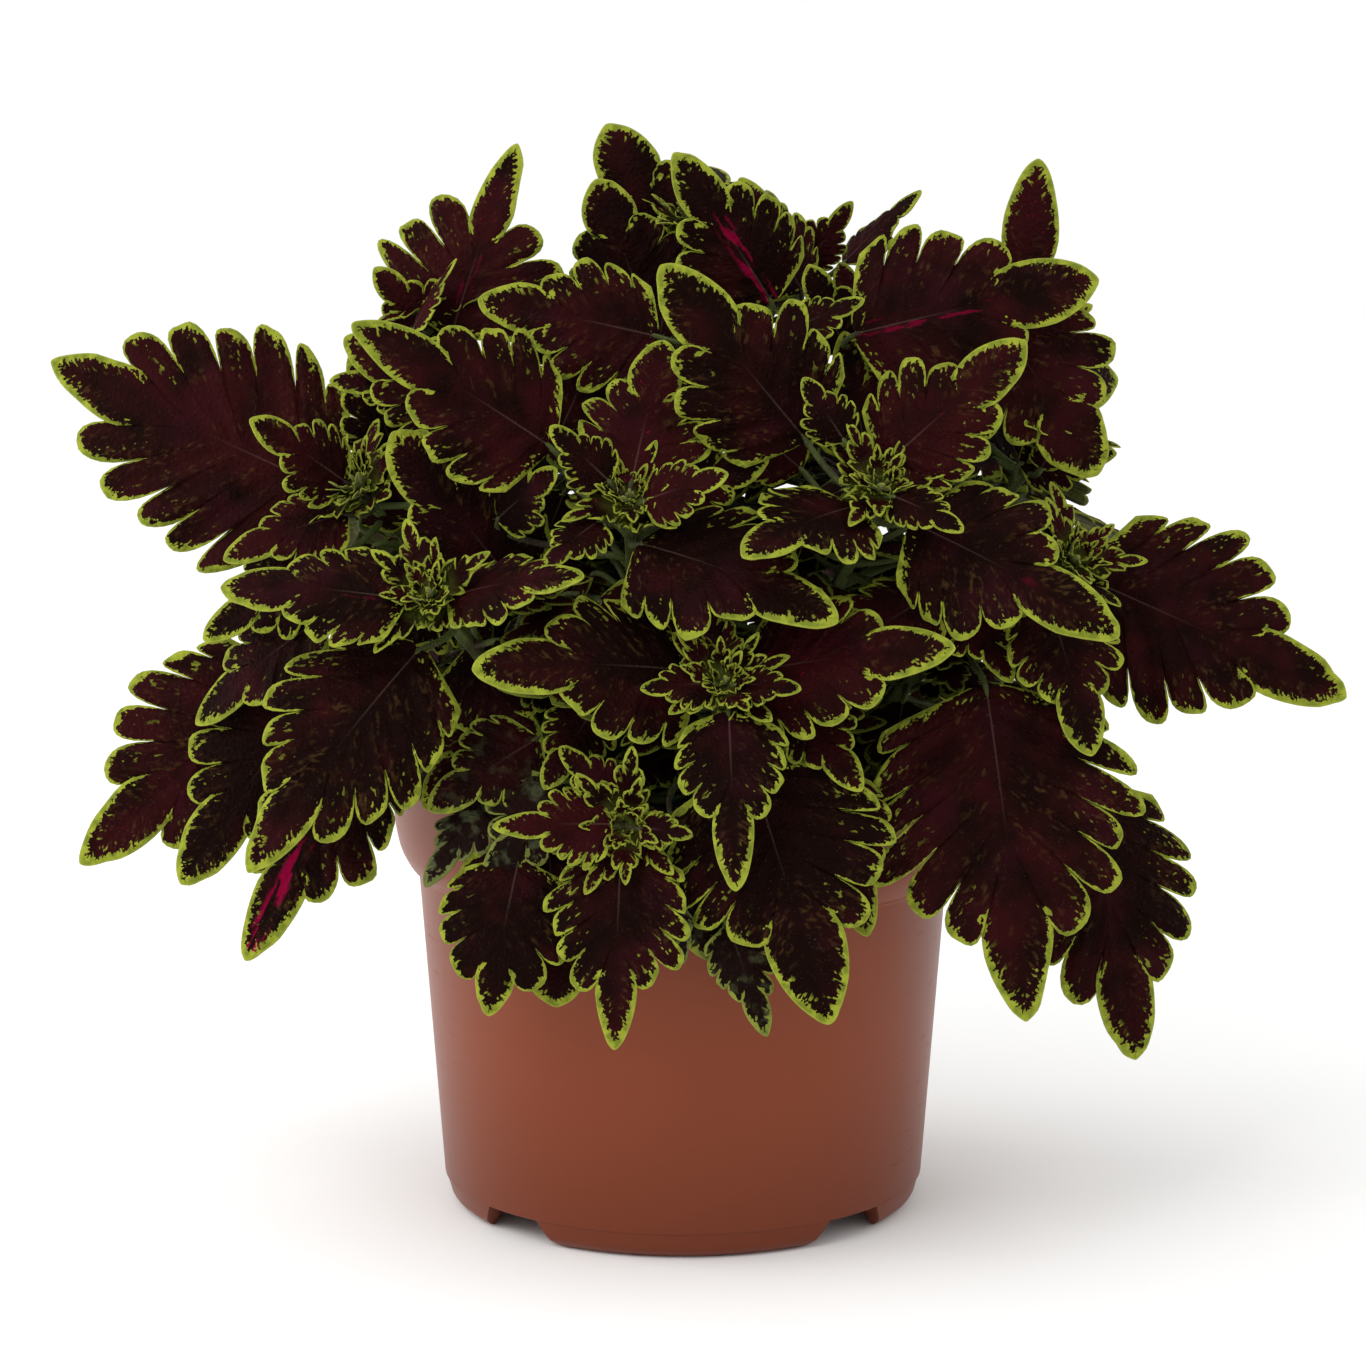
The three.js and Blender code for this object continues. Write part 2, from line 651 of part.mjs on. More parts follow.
// The leaves that are given by heading and rise, each a little off them by a seeded draw.
function leavesBehind(shoot) {
  const line = stemLine(shoot);
  const outward = shoot.behind ? 0 : Math.atan2(shoot.apex[1], shoot.apex[0]);
  return (shoot.behind ?? BACK_LEAVES).map(([turn, rise, size, height]) => {
    const angle = outward + radians(turn + 16 * (random() - 0.5));
    const e = radians(rise + 16 * (random() - 0.5));
    const length = size * (0.9 + 0.2 * random());
    const out = vector(Math.cos(angle), Math.sin(angle), 0);
    const way = out.clone().multiplyScalar(Math.cos(e)).add(vector(0, 0, Math.sin(e)));
    const joint = line.getPoint(height);
    const base = joint.clone().addScaledVector(out, BEHIND_STALK).add(vector(0, 0, 6));
    const facing = vector(0, 0, 1).addScaledVector(out, -0.2).normalize();
    const tip = base.clone().addScaledVector(way, length);
    return leafOf(base, tip, facing, { away: facing, joint, step: 6, sizes: [1, 0.8, 0.6] });
  });
}

function youngLeaves(shoot) {
  const apex = vector(...shoot.apex);
  const aim = vector(...shoot.aim).normalize();
  const across = aim.clone().cross(vector(1, 0, 0)).normalize();
  const up = aim.clone().cross(across);
  const leaves = [];
  for (const pair of YOUNG_PAIRS.slice(0, shoot.leaves.length > 4 ? 2 : 1)) {
    for (const half of [0, 180]) {
      const angle = radians(pair.turn + half);
      const out = across.clone().multiplyScalar(Math.cos(angle)).addScaledVector(up, Math.sin(angle));
      const rise = radians(pair.rise);
      const way = out.clone().multiplyScalar(Math.cos(rise)).addScaledVector(aim, Math.sin(rise));
      const base = apex.clone().addScaledVector(aim, -pair.below).addScaledVector(out, 0.5);
      const tip = base.clone().addScaledVector(way, pair.length);
      leaves.push(leafOf(base, tip, aim, { lobes: 1, away: aim, step: 2 }));
    }
  }
  return leaves;
}

// ---------------------------------------------------------------- placing

const boxesMeet = (a, b) => [0, 1, 2].every((i) => a.min[i] < b.max[i] && b.min[i] < a.max[i]);

// How much of a solid lies inside the placed pieces that a test picks.
function clash(solid, placed, isTested) {
  const box = solid.boundingBox();
  return placed
    .filter((piece) => isTested(piece) && boxesMeet(piece.box, box))
    .reduce((sum, piece) => sum + solid.intersect(piece.solid).volume(), 0);
}

function place(name, kind, solid, placed) {
  placed.push({ name, kind, solid, box: solid.boundingBox() });
}

// Bends a leaf by the first of the steps that keeps it clear of every other node, and its blade
// clear of the other blades of its shoot where there is room. A leaf with no room isn't grown.
function placeLeaf(name, leaf, placed) {
  const isOther = (piece) => piece.name !== name && piece.kind !== "blade";
  const isSister = (piece) => piece.name === name && piece.kind === "blade";
  const bladeOf = (bent, extra) => leafSolid({ ...bent, joint: null }, extra);
  const tries = leaf.sizes.flatMap((size) => BEND_ORDER.map((bend) => placedLeaf(leaf, bend, size)));
  let best = { cost: Infinity };
  for (const bent of tries) {
    const others = clash(leafSolid(bent, LEAF_SPACING), placed, isOther);
    const sisters = leaf.joint ? clash(bladeOf(bent, LEAF_SPACING), placed, isSister) : 0;
    const cost = 1000 * others + sisters;
    if (cost < best.cost) best = { cost, others, bent };
    if (cost === 0) break;
  }
  if (best.others > 0) return;
  place(name, "leaf", leafSolid(best.bent, 0), placed);
  place(name, "blade", bladeOf(best.bent, 0), placed);
}

function leafyStems(potSolid, soilSolid) {
  const placed = [];
  place("pot", "pot", potSolid, placed);
  place("soil", "soil", soilSolid, placed);
  for (const shoot of SHOOTS) place(shoot.name, "stem", stem(shoot), placed);
  for (const leavesOf of [frontLeaves, youngLeaves, leavesBehind]) {
    for (const shoot of SHOOTS) {
      leavesOf(shoot).forEach((leaf) => placeLeaf(shoot.name, leaf, placed));
    }
  }
  return SHOOTS.map(({ name }) => {
    const pieces = placed.filter((piece) => piece.name === name && piece.kind !== "blade");
    return [name, wasm.Manifold.union(pieces.map((piece) => piece.solid))];
  });
}

// ---------------------------------------------------------------- the part

const PLASTIC = new THREE.MeshStandardMaterial({ color: "#8a4b36", roughness: 0.45, metalness: 0 });
const PEAT = new THREE.MeshStandardMaterial({ color: "#2b2019", roughness: 1, metalness: 0 });
const FOLIAGE = new THREE.MeshStandardMaterial({ color: "#3f1419", roughness: 0.75, metalness: 0 });

const potSolid = pot();
const soilSolid = soil(SHOOTS);
const coleus = new THREE.Group();
coleus.name = "potted_coleus";
coleus.add(meshOf("pot", potSolid, PLASTIC));
coleus.add(meshOf("soil", soilSolid, PEAT));
for (const [name, solid] of leafyStems(potSolid, soilSolid)) {
  coleus.add(meshOf(`leafy_stem_${name}`, solid, FOLIAGE));
}

export default coleus;
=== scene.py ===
"""The visible surfaces of a coleus in its nursery pot.

The tables hold millimetres, as the plant was measured, and every mesh is in metres. +Z is up,
the origin is on the pot's axis at the ground, and -Y is the plant's front.
"""

import math
from types import SimpleNamespace

import bpy
import numpy as np
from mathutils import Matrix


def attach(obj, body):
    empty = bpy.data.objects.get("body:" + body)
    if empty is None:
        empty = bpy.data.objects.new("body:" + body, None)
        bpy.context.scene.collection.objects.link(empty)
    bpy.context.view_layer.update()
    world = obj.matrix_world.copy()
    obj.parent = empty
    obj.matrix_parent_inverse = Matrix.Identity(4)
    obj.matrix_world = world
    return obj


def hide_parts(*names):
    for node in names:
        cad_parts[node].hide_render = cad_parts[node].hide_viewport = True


bl_info = {
    "name": "Potted Coleus",
    "version": (1, 0, 0),
    "blender": (4, 5, 0),
    "location": "View3D > Sidebar > Coleus",
    "description": "Builds the leaves, stems, soil and pot of a coleus around its packed solids",
    "category": "Add Mesh",
}

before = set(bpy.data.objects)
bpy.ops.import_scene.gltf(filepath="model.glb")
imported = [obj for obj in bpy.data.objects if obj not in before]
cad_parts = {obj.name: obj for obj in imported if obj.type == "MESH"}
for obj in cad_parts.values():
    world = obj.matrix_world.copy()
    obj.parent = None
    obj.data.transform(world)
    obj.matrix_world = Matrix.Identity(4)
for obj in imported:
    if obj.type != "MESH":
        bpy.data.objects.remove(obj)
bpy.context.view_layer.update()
MM = 0.001

# ------------------------------------------------------------------ the plant's measures

# Pot: radius and height of each corner of its section, and how far each corner is rounded.
POT_SECTION = [
    (0, 9, 0), (72, 9, 0.4), (72, 0, 0.4), (73.6, 0, 0.7), (77, 2.4, 1.6), (78.6, 8.2, 0.3),
    (78.6, 8.7, 0.2), (79.2, 8.9, 0.3), (87, 112, 1.2), (89.6, 113.6, 1.4), (93, 119.5, 3),
    (95, 129, 5), (95, 142.4, 0.5), (94.6, 143, 0.3), (93.6, 143, 0.4), (93.4, 128, 3),
    (85.4, 115, 2), (77.6, 11, 0.5), (0, 11, 0),
]
FOOT_RING = {"inner": 67.2, "outer": 82.4, "height": 8.6, "half_top": 11, "half_bottom": 17, "gaps": 4}
DRAIN_HOLE = {"radius": 5, "ring": 52, "count": 4}
SOIL_TOP, SOIL_RADIUS = 131, 93.1
SOIL_SECTION = [
    (0, 11.3, 0), (77.3, 11.3, 0.5), (85.1, 115.3, 1), (SOIL_RADIUS, 128.3, 1),
    (SOIL_RADIUS, 130.2, 1),
]
SOIL_RINGS, SOIL_SIDES = 46, 120
CRUMB_REACH = 91

STEM_BOTTOM = 117
STEM_STRAIGHT_TOP = 135
STEM_RADIUS = {"root": 3.3, "apex": 2.0}
STALK_RADIUS = {"stem": 1.1, "blade": 0.8}
BLADE_THICKNESS = 0.9

# The blade's outline in leaf lengths, at these parts of its lobed side.
OUTLINE_PARTS = [0, 0.1, 0.3, 0.5, 0.7, 0.9, 1]
TIP_ALONG = [0, 0.1, 0.28, 0.45, 0.61, 0.75, 0.8]
TIP_ACROSS = [0.055, 0.37, 0.39, 0.35, 0.28, 0.18, 0.14]
VEIN_ROOTS = [0, 0.03, 0.1, 0.21, 0.36, 0.52, 0.6]
LOBE_ROUNDNESS = 2.2
TIP_LOBE_SWELL = 0.22
CUP = -0.3

# The same for the fine blade, whose lobes point further forward the nearer they are to the tip,
# with the depth of the sinuses there, in shares of the setting; how far its edge strays, in leaf
# lengths; and how round its lobes are.
EDGE_PARTS = [0, 0.08, 0.25, 0.42, 0.58, 0.75, 0.92, 1]
EDGE_ALONG = [-0.02, 0.08, 0.26, 0.39, 0.51, 0.63, 0.75, 0.81]
EDGE_ACROSS = [0.05, 0.29, 0.37, 0.375, 0.355, 0.285, 0.2, 0.12]
EDGE_ROOTS = [0, 0.01, 0.06, 0.165, 0.26, 0.33, 0.4, 0.44]
SINUS_SHARES = [0.5, 0.7, 0.85, 0.95, 0.95, 0.95, 1, 1.05]
UNEVEN_EDGE = 0.007
EDGE_ROUNDNESS = 2.9

# Across a fine blade, in millimetres: how far from the edge it thins, and to what half thickness;
# and how wide the grooves over its veins are, and its midrib and its veins below.
THINNING, EDGE_HALF = 2.5, 0.2
GROOVE, MIDRIB_RIB, VEIN_RIB = 1.8, 0.9, 0.6

# The places that a leaf can have grown in: its bends, in steps. A corner of its outline is met
# within this many millimetres, and more than this share of them has to be. A shoot has to have
# this share of its leaves.
BENDS = range(-6, 7)
MET_WITHIN, LEAST_MET, LEAST_GROWN = 0.02, 0.5, 0.7

# Steps of a fine blade: in a lobe, in the tip lobe, and from the midrib to the edge. Steps along
# stalks and stems, and around them. Hairs: how many on each millimetre of a stalk or stem, and
# their radius and lengths. The angle from one bud leaf to the next, in radians.
FINENESS = {
    "large": (12, 15, 8), "small": (9, 11, 6), "behind": (10, 12, 6), "inner": (5, 5, 2),
    "young": (5, 6, 3), "tiny": (4, 4, 3),
}
STALK_STEPS, STALK_SIDES = 9, 8
STEM_STEPS, STEM_SIDES = 48, 20
HAIR = {"per_mm": 2.2, "radius": 0.07, "shortest": 0.6, "longest": 1.5}
BUD_LEAVES, GOLDEN_ANGLE = 13, 2.39996

# The numbers of the finishes in the list of a leafy stem's materials.
UPPER, UNDER, STEM, DOWN = range(4)

# How far apart the leaves lie in the field that their patterns are read from, in millimetres.
PLACE_STEP = 31.7

# Each shoot: root in the soil, centre of its youngest leaves, the way those face, its grown
# leaves (base, tip, turn and rise of the face, arch, width), and the leaves behind its stem
# (heading, rise, length, height on the stem).
SHOOTS = [
    ("crown", (4, 14), (4, 15, 322), (0, -0.3, 1), [
        (-9, -34, 291, -65, -30, 302, 0, 20, 0.06),
        (2, 16, 301, -25, 26, 353, 0, 20, 0.05, 1.1),
        (-12, 0, 295, -36, 6, 331, -15, 35, 0.05, 1.2),
        (28, -14, 300, -3, -24, 348, 5, 15, 0.06),
        (40, 12, 309, 55, 14, 329, 40, 30, 0.05),
        (53, 24, 308, 78, 30, 331, 10, 75, 0.03, 0.7),
        (38, 4, 301, 18, 0, 337, 20, 30, 0.05),
        (35, 22, 296, 27, 14, 333, 150, 20, 0.05),
    ], [(95, 15, 64, 0.94), (20, 0, 66, 0.86), (165, -5, 68, 0.84), (60, -20, 72, 0.72)]),
    ("crown_left", (-20, 6), (-78, 0, 298), (-0.3, -0.3, 1), [
        (-74, -12, 289, -53, -2, 349, -15, 20, 0.06, 1.2),
        (-86, -18, 291, -72, -20, 314, -75, 20, 0.05, 0.8),
        (-81, -20, 272, -113, -22, 275, -10, 30, 0.08),
    ], [(75, -5, 58, 0.92), (110, -25, 66, 0.75)]),
    ("crown_right", (24, 6), (75, 6, 288), (0.3, -0.1, 1), [
        (55, -36, 292, 132, -26, 308, 0, 20, 0.05, 1.05),
        (111, 8, 309, 115, 12, 343, 0, 10, 0.04, 1.1),
        (34, -44, 294, 57, -46, 304, -10, 40, 0.05),
    ], [(110, 0, 58, 0.92), (75, -25, 66, 0.75)]),
    ("left_back", (-44, -10), (-103, -38, 243), (-0.5, -0.5, 0.7), [
        (-112, -10, 237, -207, 20, 276, -10, 12, 0.05),
        (-107, -40, 245, -136, -52, 267, -25, 40, 0.05),
        (-107, -42, 235, -145, -52, 222, -25, 35, 0.1),
        (-112, -45, 221, -152, -50, 196, -30, 20, 0.1),
        (-68, -30, 264, -108, -22, 289, -5, 20, 0.05),
        (-103, -30, 231, -81, -30, 260, 0, 20, 0.05),
    ], [(110, -5, 60, 0.9)]),
    ("left_low", (-46, -38), (-78, -88, 217), (-0.3, -0.7, 0.6), [
        (-86, -90, 216, -143, -85, 219, -10, 50, 0.08),
        (-71, -90, 217, -30, -112, 227, 5, 55, 0.08),
        (-82, -84, 199, -134, -108, 134, -15, 15, 0.12),
        (-114, -62, 205, -155, -72, 173, -45, 20, 0.1),
        (-99, -72, 168, -137, -88, 101, -25, 5, 0.08, 0.85),
        (-126, -38, 181, -194, -40, 121, -15, 5, 0.08),
        (-119, -50, 175, -160, -56, 118, -15, 10, 0.08),
        (-52, -48, 212, -91, -60, 264, -5, 15, 0.05),
        (-51, -66, 180, -81, -80, 148, -10, 15, 0.08),
        (-67, -60, 195, -45, -84, 161, 0, 20, 0.08),
    ], [(150, -25, 64, 0.6)]),
    ("middle", (-12, -30), (-17, -72, 245), (0, -0.65, 0.75), [
        (-42, -62, 260, -102, -76, 300, -5, 30, 0.06),
        (-16, -72, 250, -6, -45, 291, 0, 15, 0.08, 1.1),
        (-13, -76, 231, 47, -113, 213, 10, 40, 0.1),
        (-26, -80, 239, -43, -98, 227, -20, 35, 0.1),
        (-23, -76, 251, -41, -82, 269, -15, 30, 0.05),
        (-12, -78, 245, 14, -88, 255, 10, 35, 0.05),
        (-10, -62, 243, 27, -70, 258, 10, 20, 0.05),
        (-58, -50, 235, -39, -56, 251, -10, 20, 0.05),
        (-26, -64, 211, 5, -84, 199, 0, 25, 0.08),
        (-39, -30, 260, -20, -20, 301, -5, 15, 0.05),
        (12, -30, 260, 5, -20, 301, 5, 15, 0.05),
    ], [(95, 5, 58, 0.85)]),
    ("right", (28, -32), (61, -74, 249), (0.1, -0.65, 0.75), [
        (38, -60, 262, -7, -76, 318, -5, 15, 0.06),
        (63, -68, 255, 106, -72, 294, 5, 25, 0.05),
        (72, -74, 237, 134, -98, 206, 10, 25, 0.1),
        (53, -78, 243, 18, -112, 233, -15, 45, 0.1, 1.2),
        (50, -70, 263, 37, -74, 283, -10, 20, 0.05),
        (65, -82, 247, 86, -94, 238, 15, 35, 0.08),
        (76, -66, 212, 44, -92, 195, -5, 35, 0.1),
        (86, -58, 210, 103, -74, 187, 10, 30, 0.1),
        (58, -40, 253, 51, -30, 292, 0, 15, 0.05),
        (37, -50, 251, 10, -56, 275, -10, 20, 0.05),
    ], [(70, 5, 58, 0.85)]),
    ("front_middle", (8, -50), (12, -104, 193), (0, -0.8, 0.6), [
        (2, -92, 194, -64, -120, 200, -5, 35, 0.1),
        (19, -90, 193, 83, -112, 205, 5, 35, 0.08),
        (14, -108, 184, 16, -128, 133, 0, 10, 0.12, 0.9),
        (9, -108, 193, -13, -116, 193, -10, 40, 0.08),
        (16, -108, 193, 36, -116, 193, 10, 40, 0.08),
        (11, -100, 198, 7, -96, 218, 0, 20, 0.05),
        (21, -96, 164, 45, -124, 90, 0, 10, 0.1),
        (-26, -84, 183, -43, -98, 158, -10, 20, 0.08),
        (33, -84, 183, 55, -100, 158, 10, 20, 0.08),
    ], []),
    ("front_low", (-14, -60), (-18, -112, 150), (0, -1, 0.15), [
        (-19, -112, 142, -21, -128, 83, -5, 5, 0.08),
        (-51, -98, 135, -60, -114, 90, -10, 5, 0.08),
        (-22, -116, 151, -58, -124, 152, -5, 30, 0.06),
        (-13, -116, 150, 3, -122, 149, 5, 30, 0.06),
        (-19, -108, 155, -38, -100, 172, -10, 20, 0.05),
        (14, -108, 117, 26, -112, 83, 10, 0, 0.05, 0.8),
        (-3, -112, 125, 0, -116, 107, 30, 0, 0.2, 0.8),
        (-59, -80, 151, -80, -98, 127, -20, 30, 0.15, 0.8),
    ], []),
    ("right_back", (48, 0), (118, -14, 257), (0.4, -0.3, 0.85), [
        (91, -5, 267, 146, 60, 265, 0, 10, 0.05),
        (115, -18, 246, 121, -20, 260, 15, 30, 0.05),
        (109, -12, 247, 140, -10, 250, 5, 20, 0.05),
    ], [(80, 0, 58, 0.92), (40, -30, 66, 0.75)]),
    ("right_low", (54, -26), (123, -50, 222), (0.5, -0.6, 0.6), [
        (128, -30, 213, 211, -48, 177, 10, 15, 0.05),
        (95, -72, 184, 107, -98, 84, 5, 10, 0.1, 1.1),
        (128, -32, 144, 146, -48, 58, 25, 5, 0.08),
        (114, -64, 211, 127, -86, 166, 15, 20, 0.1),
    ], [(75, -20, 62, 0.85)]),
    ("back_left", (-38, 30), (-86, 40, 240), (-0.5, 0.4, 0.75), [], None),
    ("back_middle", (0, 42), (-5, 60, 262), (0, 0.6, 0.8), [], None),
    ("back_right", (36, 32), (92, 40, 245), (0.5, 0.4, 0.75), [], None),
    ("back_low_left", (-34, 54), (-50, 73, 176), (-0.4, 0.8, 0.4), [], None),
    ("back_low_right", (38, 54), (54, 73, 180), (0.4, 0.8, 0.4), [], None),
]

# The leaves of the shoots that have no rows of their own: the same as those behind a stem, but
# their headings count from the way that the shoot leans. All of these stand this far off it.
BACK_LEAVES = [
    (-50, 25, 56, 0.95), (50, 25, 56, 0.95), (0, -35, 62, 0.85),
    (-70, -30, 76, 0.7), (70, -30, 76, 0.7), (0, -65, 84, 0.55),
]
BEHIND_STALK = 14

# Inner leaves: the ellipsoid that they stay inside, how often one is tried, from which try on they
# are shorter and then low down, the lowest that they hang, and how clear of others they stay.
HEART_CENTRE, HEART_REACH = (0, -4, 205), (132, 108, 104)
INNER_TRIES, SHORTER_FROM, LOW_AFTER = 5000, 1800, 3600
LOWEST_LEAF = SOIL_TOP + 5
LEAF_GAP = 1.9

# What is particular to some of the fine leaves, by shoot and row: lobes a side; how far those are
# drawn together towards the base, with the half width of the tip lobe; how deep its sinuses are,
# of their usual depth; the width, base and tip of the blade, where they aren't the solid's; how
# withered it is, and how splashed with magenta.
LEAF_TRAITS = {
    ("crown", 1): {"tip_lobe": (0.9, 0.15)},
    ("crown", 2): {"tip_lobe": (0.9, 0.15), "fine_lobes": 3, "fine_width": 1.25, "fine_tip": (-28, 6, 337)},
    ("crown", 3): {"splash": 0.8},
    ("crown", 5): {"sinuses": 0.3, "fine_lobes": 3},
    ("crown_left", 0): {"tip_lobe": (0.85, 0.07), "sinuses": 1.4, "fine_width": 1.35, "splash": 0.3},
    ("crown_right", 0): {"fine_lobes": 4, "tip_lobe": (0.88, 0.12), "splash": 0.5},
    ("crown_right", 1): {"tip_lobe": (0.5, 0.135), "fine_base": (109, 4, 288)},
    ("left_low", 0): {"splash": 0.2},
    ("left_low", 2): {"fine_lobes": 5, "tip_lobe": (0.98, 0.085), "fine_width": 0.92},
    ("left_low", 4): {"splash": 1.0},
    ("right", 2): {"fine_lobes": 4, "tip_lobe": (0.8, 0.12), "sinuses": 0.85, "splash": 0.3},
    ("front_middle", 2): {"tip_lobe": (0.8, 0.115)},
    ("front_middle", 6): {"fine_width": 1.2},
    ("front_low", 0): {"fine_lobes": 5, "tip_lobe": (0.92, 0.085)},
    ("front_low", 1): {"tip_lobe": (1.06, 0.08), "fine_width": 1.3},
    ("front_low", 2): {"fine_lobes": 5, "tip_lobe": (0.8, 0.1)},
    ("front_low", 5): {"withered": 0.45},
    ("front_low", 6): {"withered": 1.0},
    ("front_low", 7): {"withered": 0.9},
}

# Leaves that only the fine plant has, low down and in the gaps between the others: what is
# particular to each, and then the same as in a shoot's row.
EXTRA_LEAVES = {
    "crown_right": [
        ({}, 52, -16, 284, 40, -18, 312, 0, 15, 0.05, 1.2),
        ({}, 58, 14, 286, 51, 16, 309, 0, 15, 0.05, 1.1),
    ],
    "left_back": [({}, -92, -4, 246, -106, -8, 284, 0, 15, 0.05)],
    "left_low": [
        ({"withered": 0.2}, -46, -80, 170, -79, -92, 150, -10, 20, 0.08, 1.1),
        ({}, -72, -50, 212, -98, -62, 190, -5, 20, 0.06),
    ],
    "middle": [({}, -38, -30, 240, -50, -44, 212, 0, 10, 0.05, 1.1)],
    "front_middle": [
        ({"withered": 0.4}, -4, -94, 150, 8, -107, 106, 10, 12, 0.1, 1.2),
        ({}, 44, -88, 160, 57, -105, 113, 15, 10, 0.08, 1.0),
    ],
    "front_low": [
        ({}, -42, -90, 142, -39, -107, 91, 5, 10, 0.08, 1.5),
        ({"withered": 0.6}, -38, -88, 158, -61, -99, 127, -10, 15, 0.1, 1.1),
    ],
    "right_back": [({"fine_lobes": 4}, 98, -20, 298, 132, -32, 246, 5, 20, 0.05, 1.25)],
    "crown_left": [({}, -78, -6, 286, -99, -9, 310, -20, 15, 0.05, 1.1)],
}
YOUNG_PAIRS = [
    {"length": 23, "rise": 25, "below": 6, "turn": 45},
    {"length": 14, "rise": 55, "below": 2, "turn": 135},
]


def display_colour(red, green, blue):
    """A linear colour from one given as it shows on a display, each part from 0 to 255."""
    parts = np.array([red, green, blue]) / 255
    linear = np.where(parts <= 0.04045, parts / 12.92, ((parts + 0.055) / 1.055) ** 2.4)
    return tuple(float(part) for part in linear)


# ------------------------------------------------------------------ shapes as whole arrays


def unit(rows):
    """Rows scaled to length 1."""
    return rows / np.linalg.norm(rows, axis=-1, keepdims=True)


def bezier(controls, shares):
    """Points of a Bezier curve: neighbouring control points are mixed by the share, over and over,
    until one is left."""
    rows = [np.tile(np.asarray(control, float), (len(shares), 1)) for control in controls]
    while len(rows) > 1:
        rows = [a + shares[:, None] * (b - a) for a, b in zip(rows, rows[1:])]
    return rows[0]


def bezier_headings(controls, shares):
    """Unit headings of a Bezier curve: the Bezier curve of the steps between its controls."""
    return unit(bezier(np.diff(np.asarray(controls, float), axis=0), shares))


def heading(azimuth, rise):
    """The unit vector at those two angles in degrees: around from +X, and up."""
    a, e = math.radians(azimuth), math.radians(rise)
    return np.array([math.cos(a) * math.cos(e), math.sin(a) * math.cos(e), math.sin(e)])


def rounded_section(corners, steps=5):
    """A section with each corner replaced by a quadratic Bezier curve that starts and ends at the
    corner's rounding from it, on its two edges."""
    line = []
    for i, (radius, height, rounding) in enumerate(corners):
        here = np.array([radius, height], float)
        if rounding == 0 or i in (0, len(corners) - 1):
            line.append(here[None])
            continue
        before, after = np.array(corners[i - 1][:2], float), np.array(corners[i + 1][:2], float)
        start = here + unit(before - here) * min(rounding, 0.45 * np.linalg.norm(before - here))
        end = here + unit(after - here) * min(rounding, 0.45 * np.linalg.norm(after - here))
        line.append(bezier([start, here, end], np.linspace(0, 1, steps)))
    return np.concatenate(line)


def grid_triangles(rows, columns, wrap=False):
    """Triangles of a grid whose point (row, column) has the number row * columns + column. With
    wrap, the last column joins the first."""
    row, column = np.meshgrid(
        np.arange(rows - 1), np.arange(columns if wrap else columns - 1), indexing="ij"
    )
    a = (row * columns + column).ravel()
    b = (row * columns + (column + 1) % columns).ravel()
    c, d = a + columns, b + columns
    return np.concatenate([np.stack([a, b, d], 1), np.stack([a, d, c], 1)])


def turned(section, sides):
    """A section of [radius, height] turned about Z: point = (radius cos angle, radius sin angle,
    height). Walked with the material on its left, it faces outwards."""
    angle = np.linspace(0, 2 * np.pi, sides, endpoint=False)
    radius, height = section[:, 0, None], section[:, 1, None]
    points = np.stack(
        [radius * np.cos(angle), radius * np.sin(angle), height + 0 * angle], -1
    ).reshape(-1, 3)
    return points, grid_triangles(len(section), sides, wrap=True)


def welded(points, triangles):
    """Merges points that are equal to a ten-thousandth of a millimetre and drops the triangles
    that lose a side. Returns the kept points' old numbers, the new triangles, and which of the
    old triangles those are."""
    _, kept, new = np.unique(np.round(points, 4), axis=0, return_index=True, return_inverse=True)
    triangles = new.ravel()[triangles]
    a, b, c = triangles.T
    whole = (a != b) & (b != c) & (c != a)
    return kept, triangles[whole], whole


class Skin:
    """The triangles of one piece as they are gathered, in millimetres, with the finish of each
    and the values at each point that the finishes read."""

    VALUES = {"lime": 1, "vein": 1, "near_tip": 1, "leaf_place": 3, "leaf_look": 3, "leaf_kind": 3}

    def __init__(self):
        self.points, self.triangles, self.finish = [], [], []
        self.values = {name: [] for name in self.VALUES}
        self.count = 0

    def add(self, points, triangles, finish, **values):
        """Adds a closed shape, with one finish or one for each triangle. A value that isn't given
        is 0."""
        finish = np.broadcast_to(finish, len(triangles))
        kept, triangles, whole = welded(points, triangles)
        self.points.append(points[kept])
        self.triangles.append(triangles + self.count)
        self.finish.append(finish[whole])
        for name, width in self.VALUES.items():
            value = np.asarray(values.get(name, 0), float)
            full = np.broadcast_to(value, (len(points), width) if width > 1 else len(points))
            self.values[name].append(full[kept])
        self.count += len(kept)

    def mesh(self, name):
        """The mesh of all that was added, in metres."""
        made = bpy.data.meshes.new(name)
        points = np.concatenate(self.points) * MM
        triangles = np.concatenate(self.triangles)
        made.from_pydata(points.tolist(), [], triangles.tolist())
        made.polygons.foreach_set("material_index", np.concatenate(self.finish).astype(np.int32))
        made.polygons.foreach_set("use_smooth", np.ones(len(triangles), bool))
        for value, width in self.VALUES.items():
            kind, key = ("FLOAT", "value") if width == 1 else ("FLOAT_VECTOR", "vector")
            layer = made.attributes.new(value, kind, "POINT")
            layer.data.foreach_set(key, np.concatenate(self.values[value]).astype(np.float32).ravel())
        made.update()
        return made


def new_piece(name, mesh, materials):
    """An object at the origin that holds the mesh, with its materials in order."""
    for material in materials:
        mesh.materials.append(material)
    piece = bpy.data.objects.new(name, mesh)
    bpy.context.scene.collection.objects.link(piece)
    return piece


def plain_mesh(name, points, triangles, crease=30):
    """A mesh of points in millimetres, smooth except where it turns by more than the crease."""
    kept, triangles, _ = welded(points, triangles)
    made = bpy.data.meshes.new(name)
    made.from_pydata((points[kept] * MM).tolist(), [], triangles.tolist())
    made.polygons.foreach_set("use_smooth", np.ones(len(triangles), bool))
    made.set_sharp_from_angle(angle=math.radians(crease))
    return made


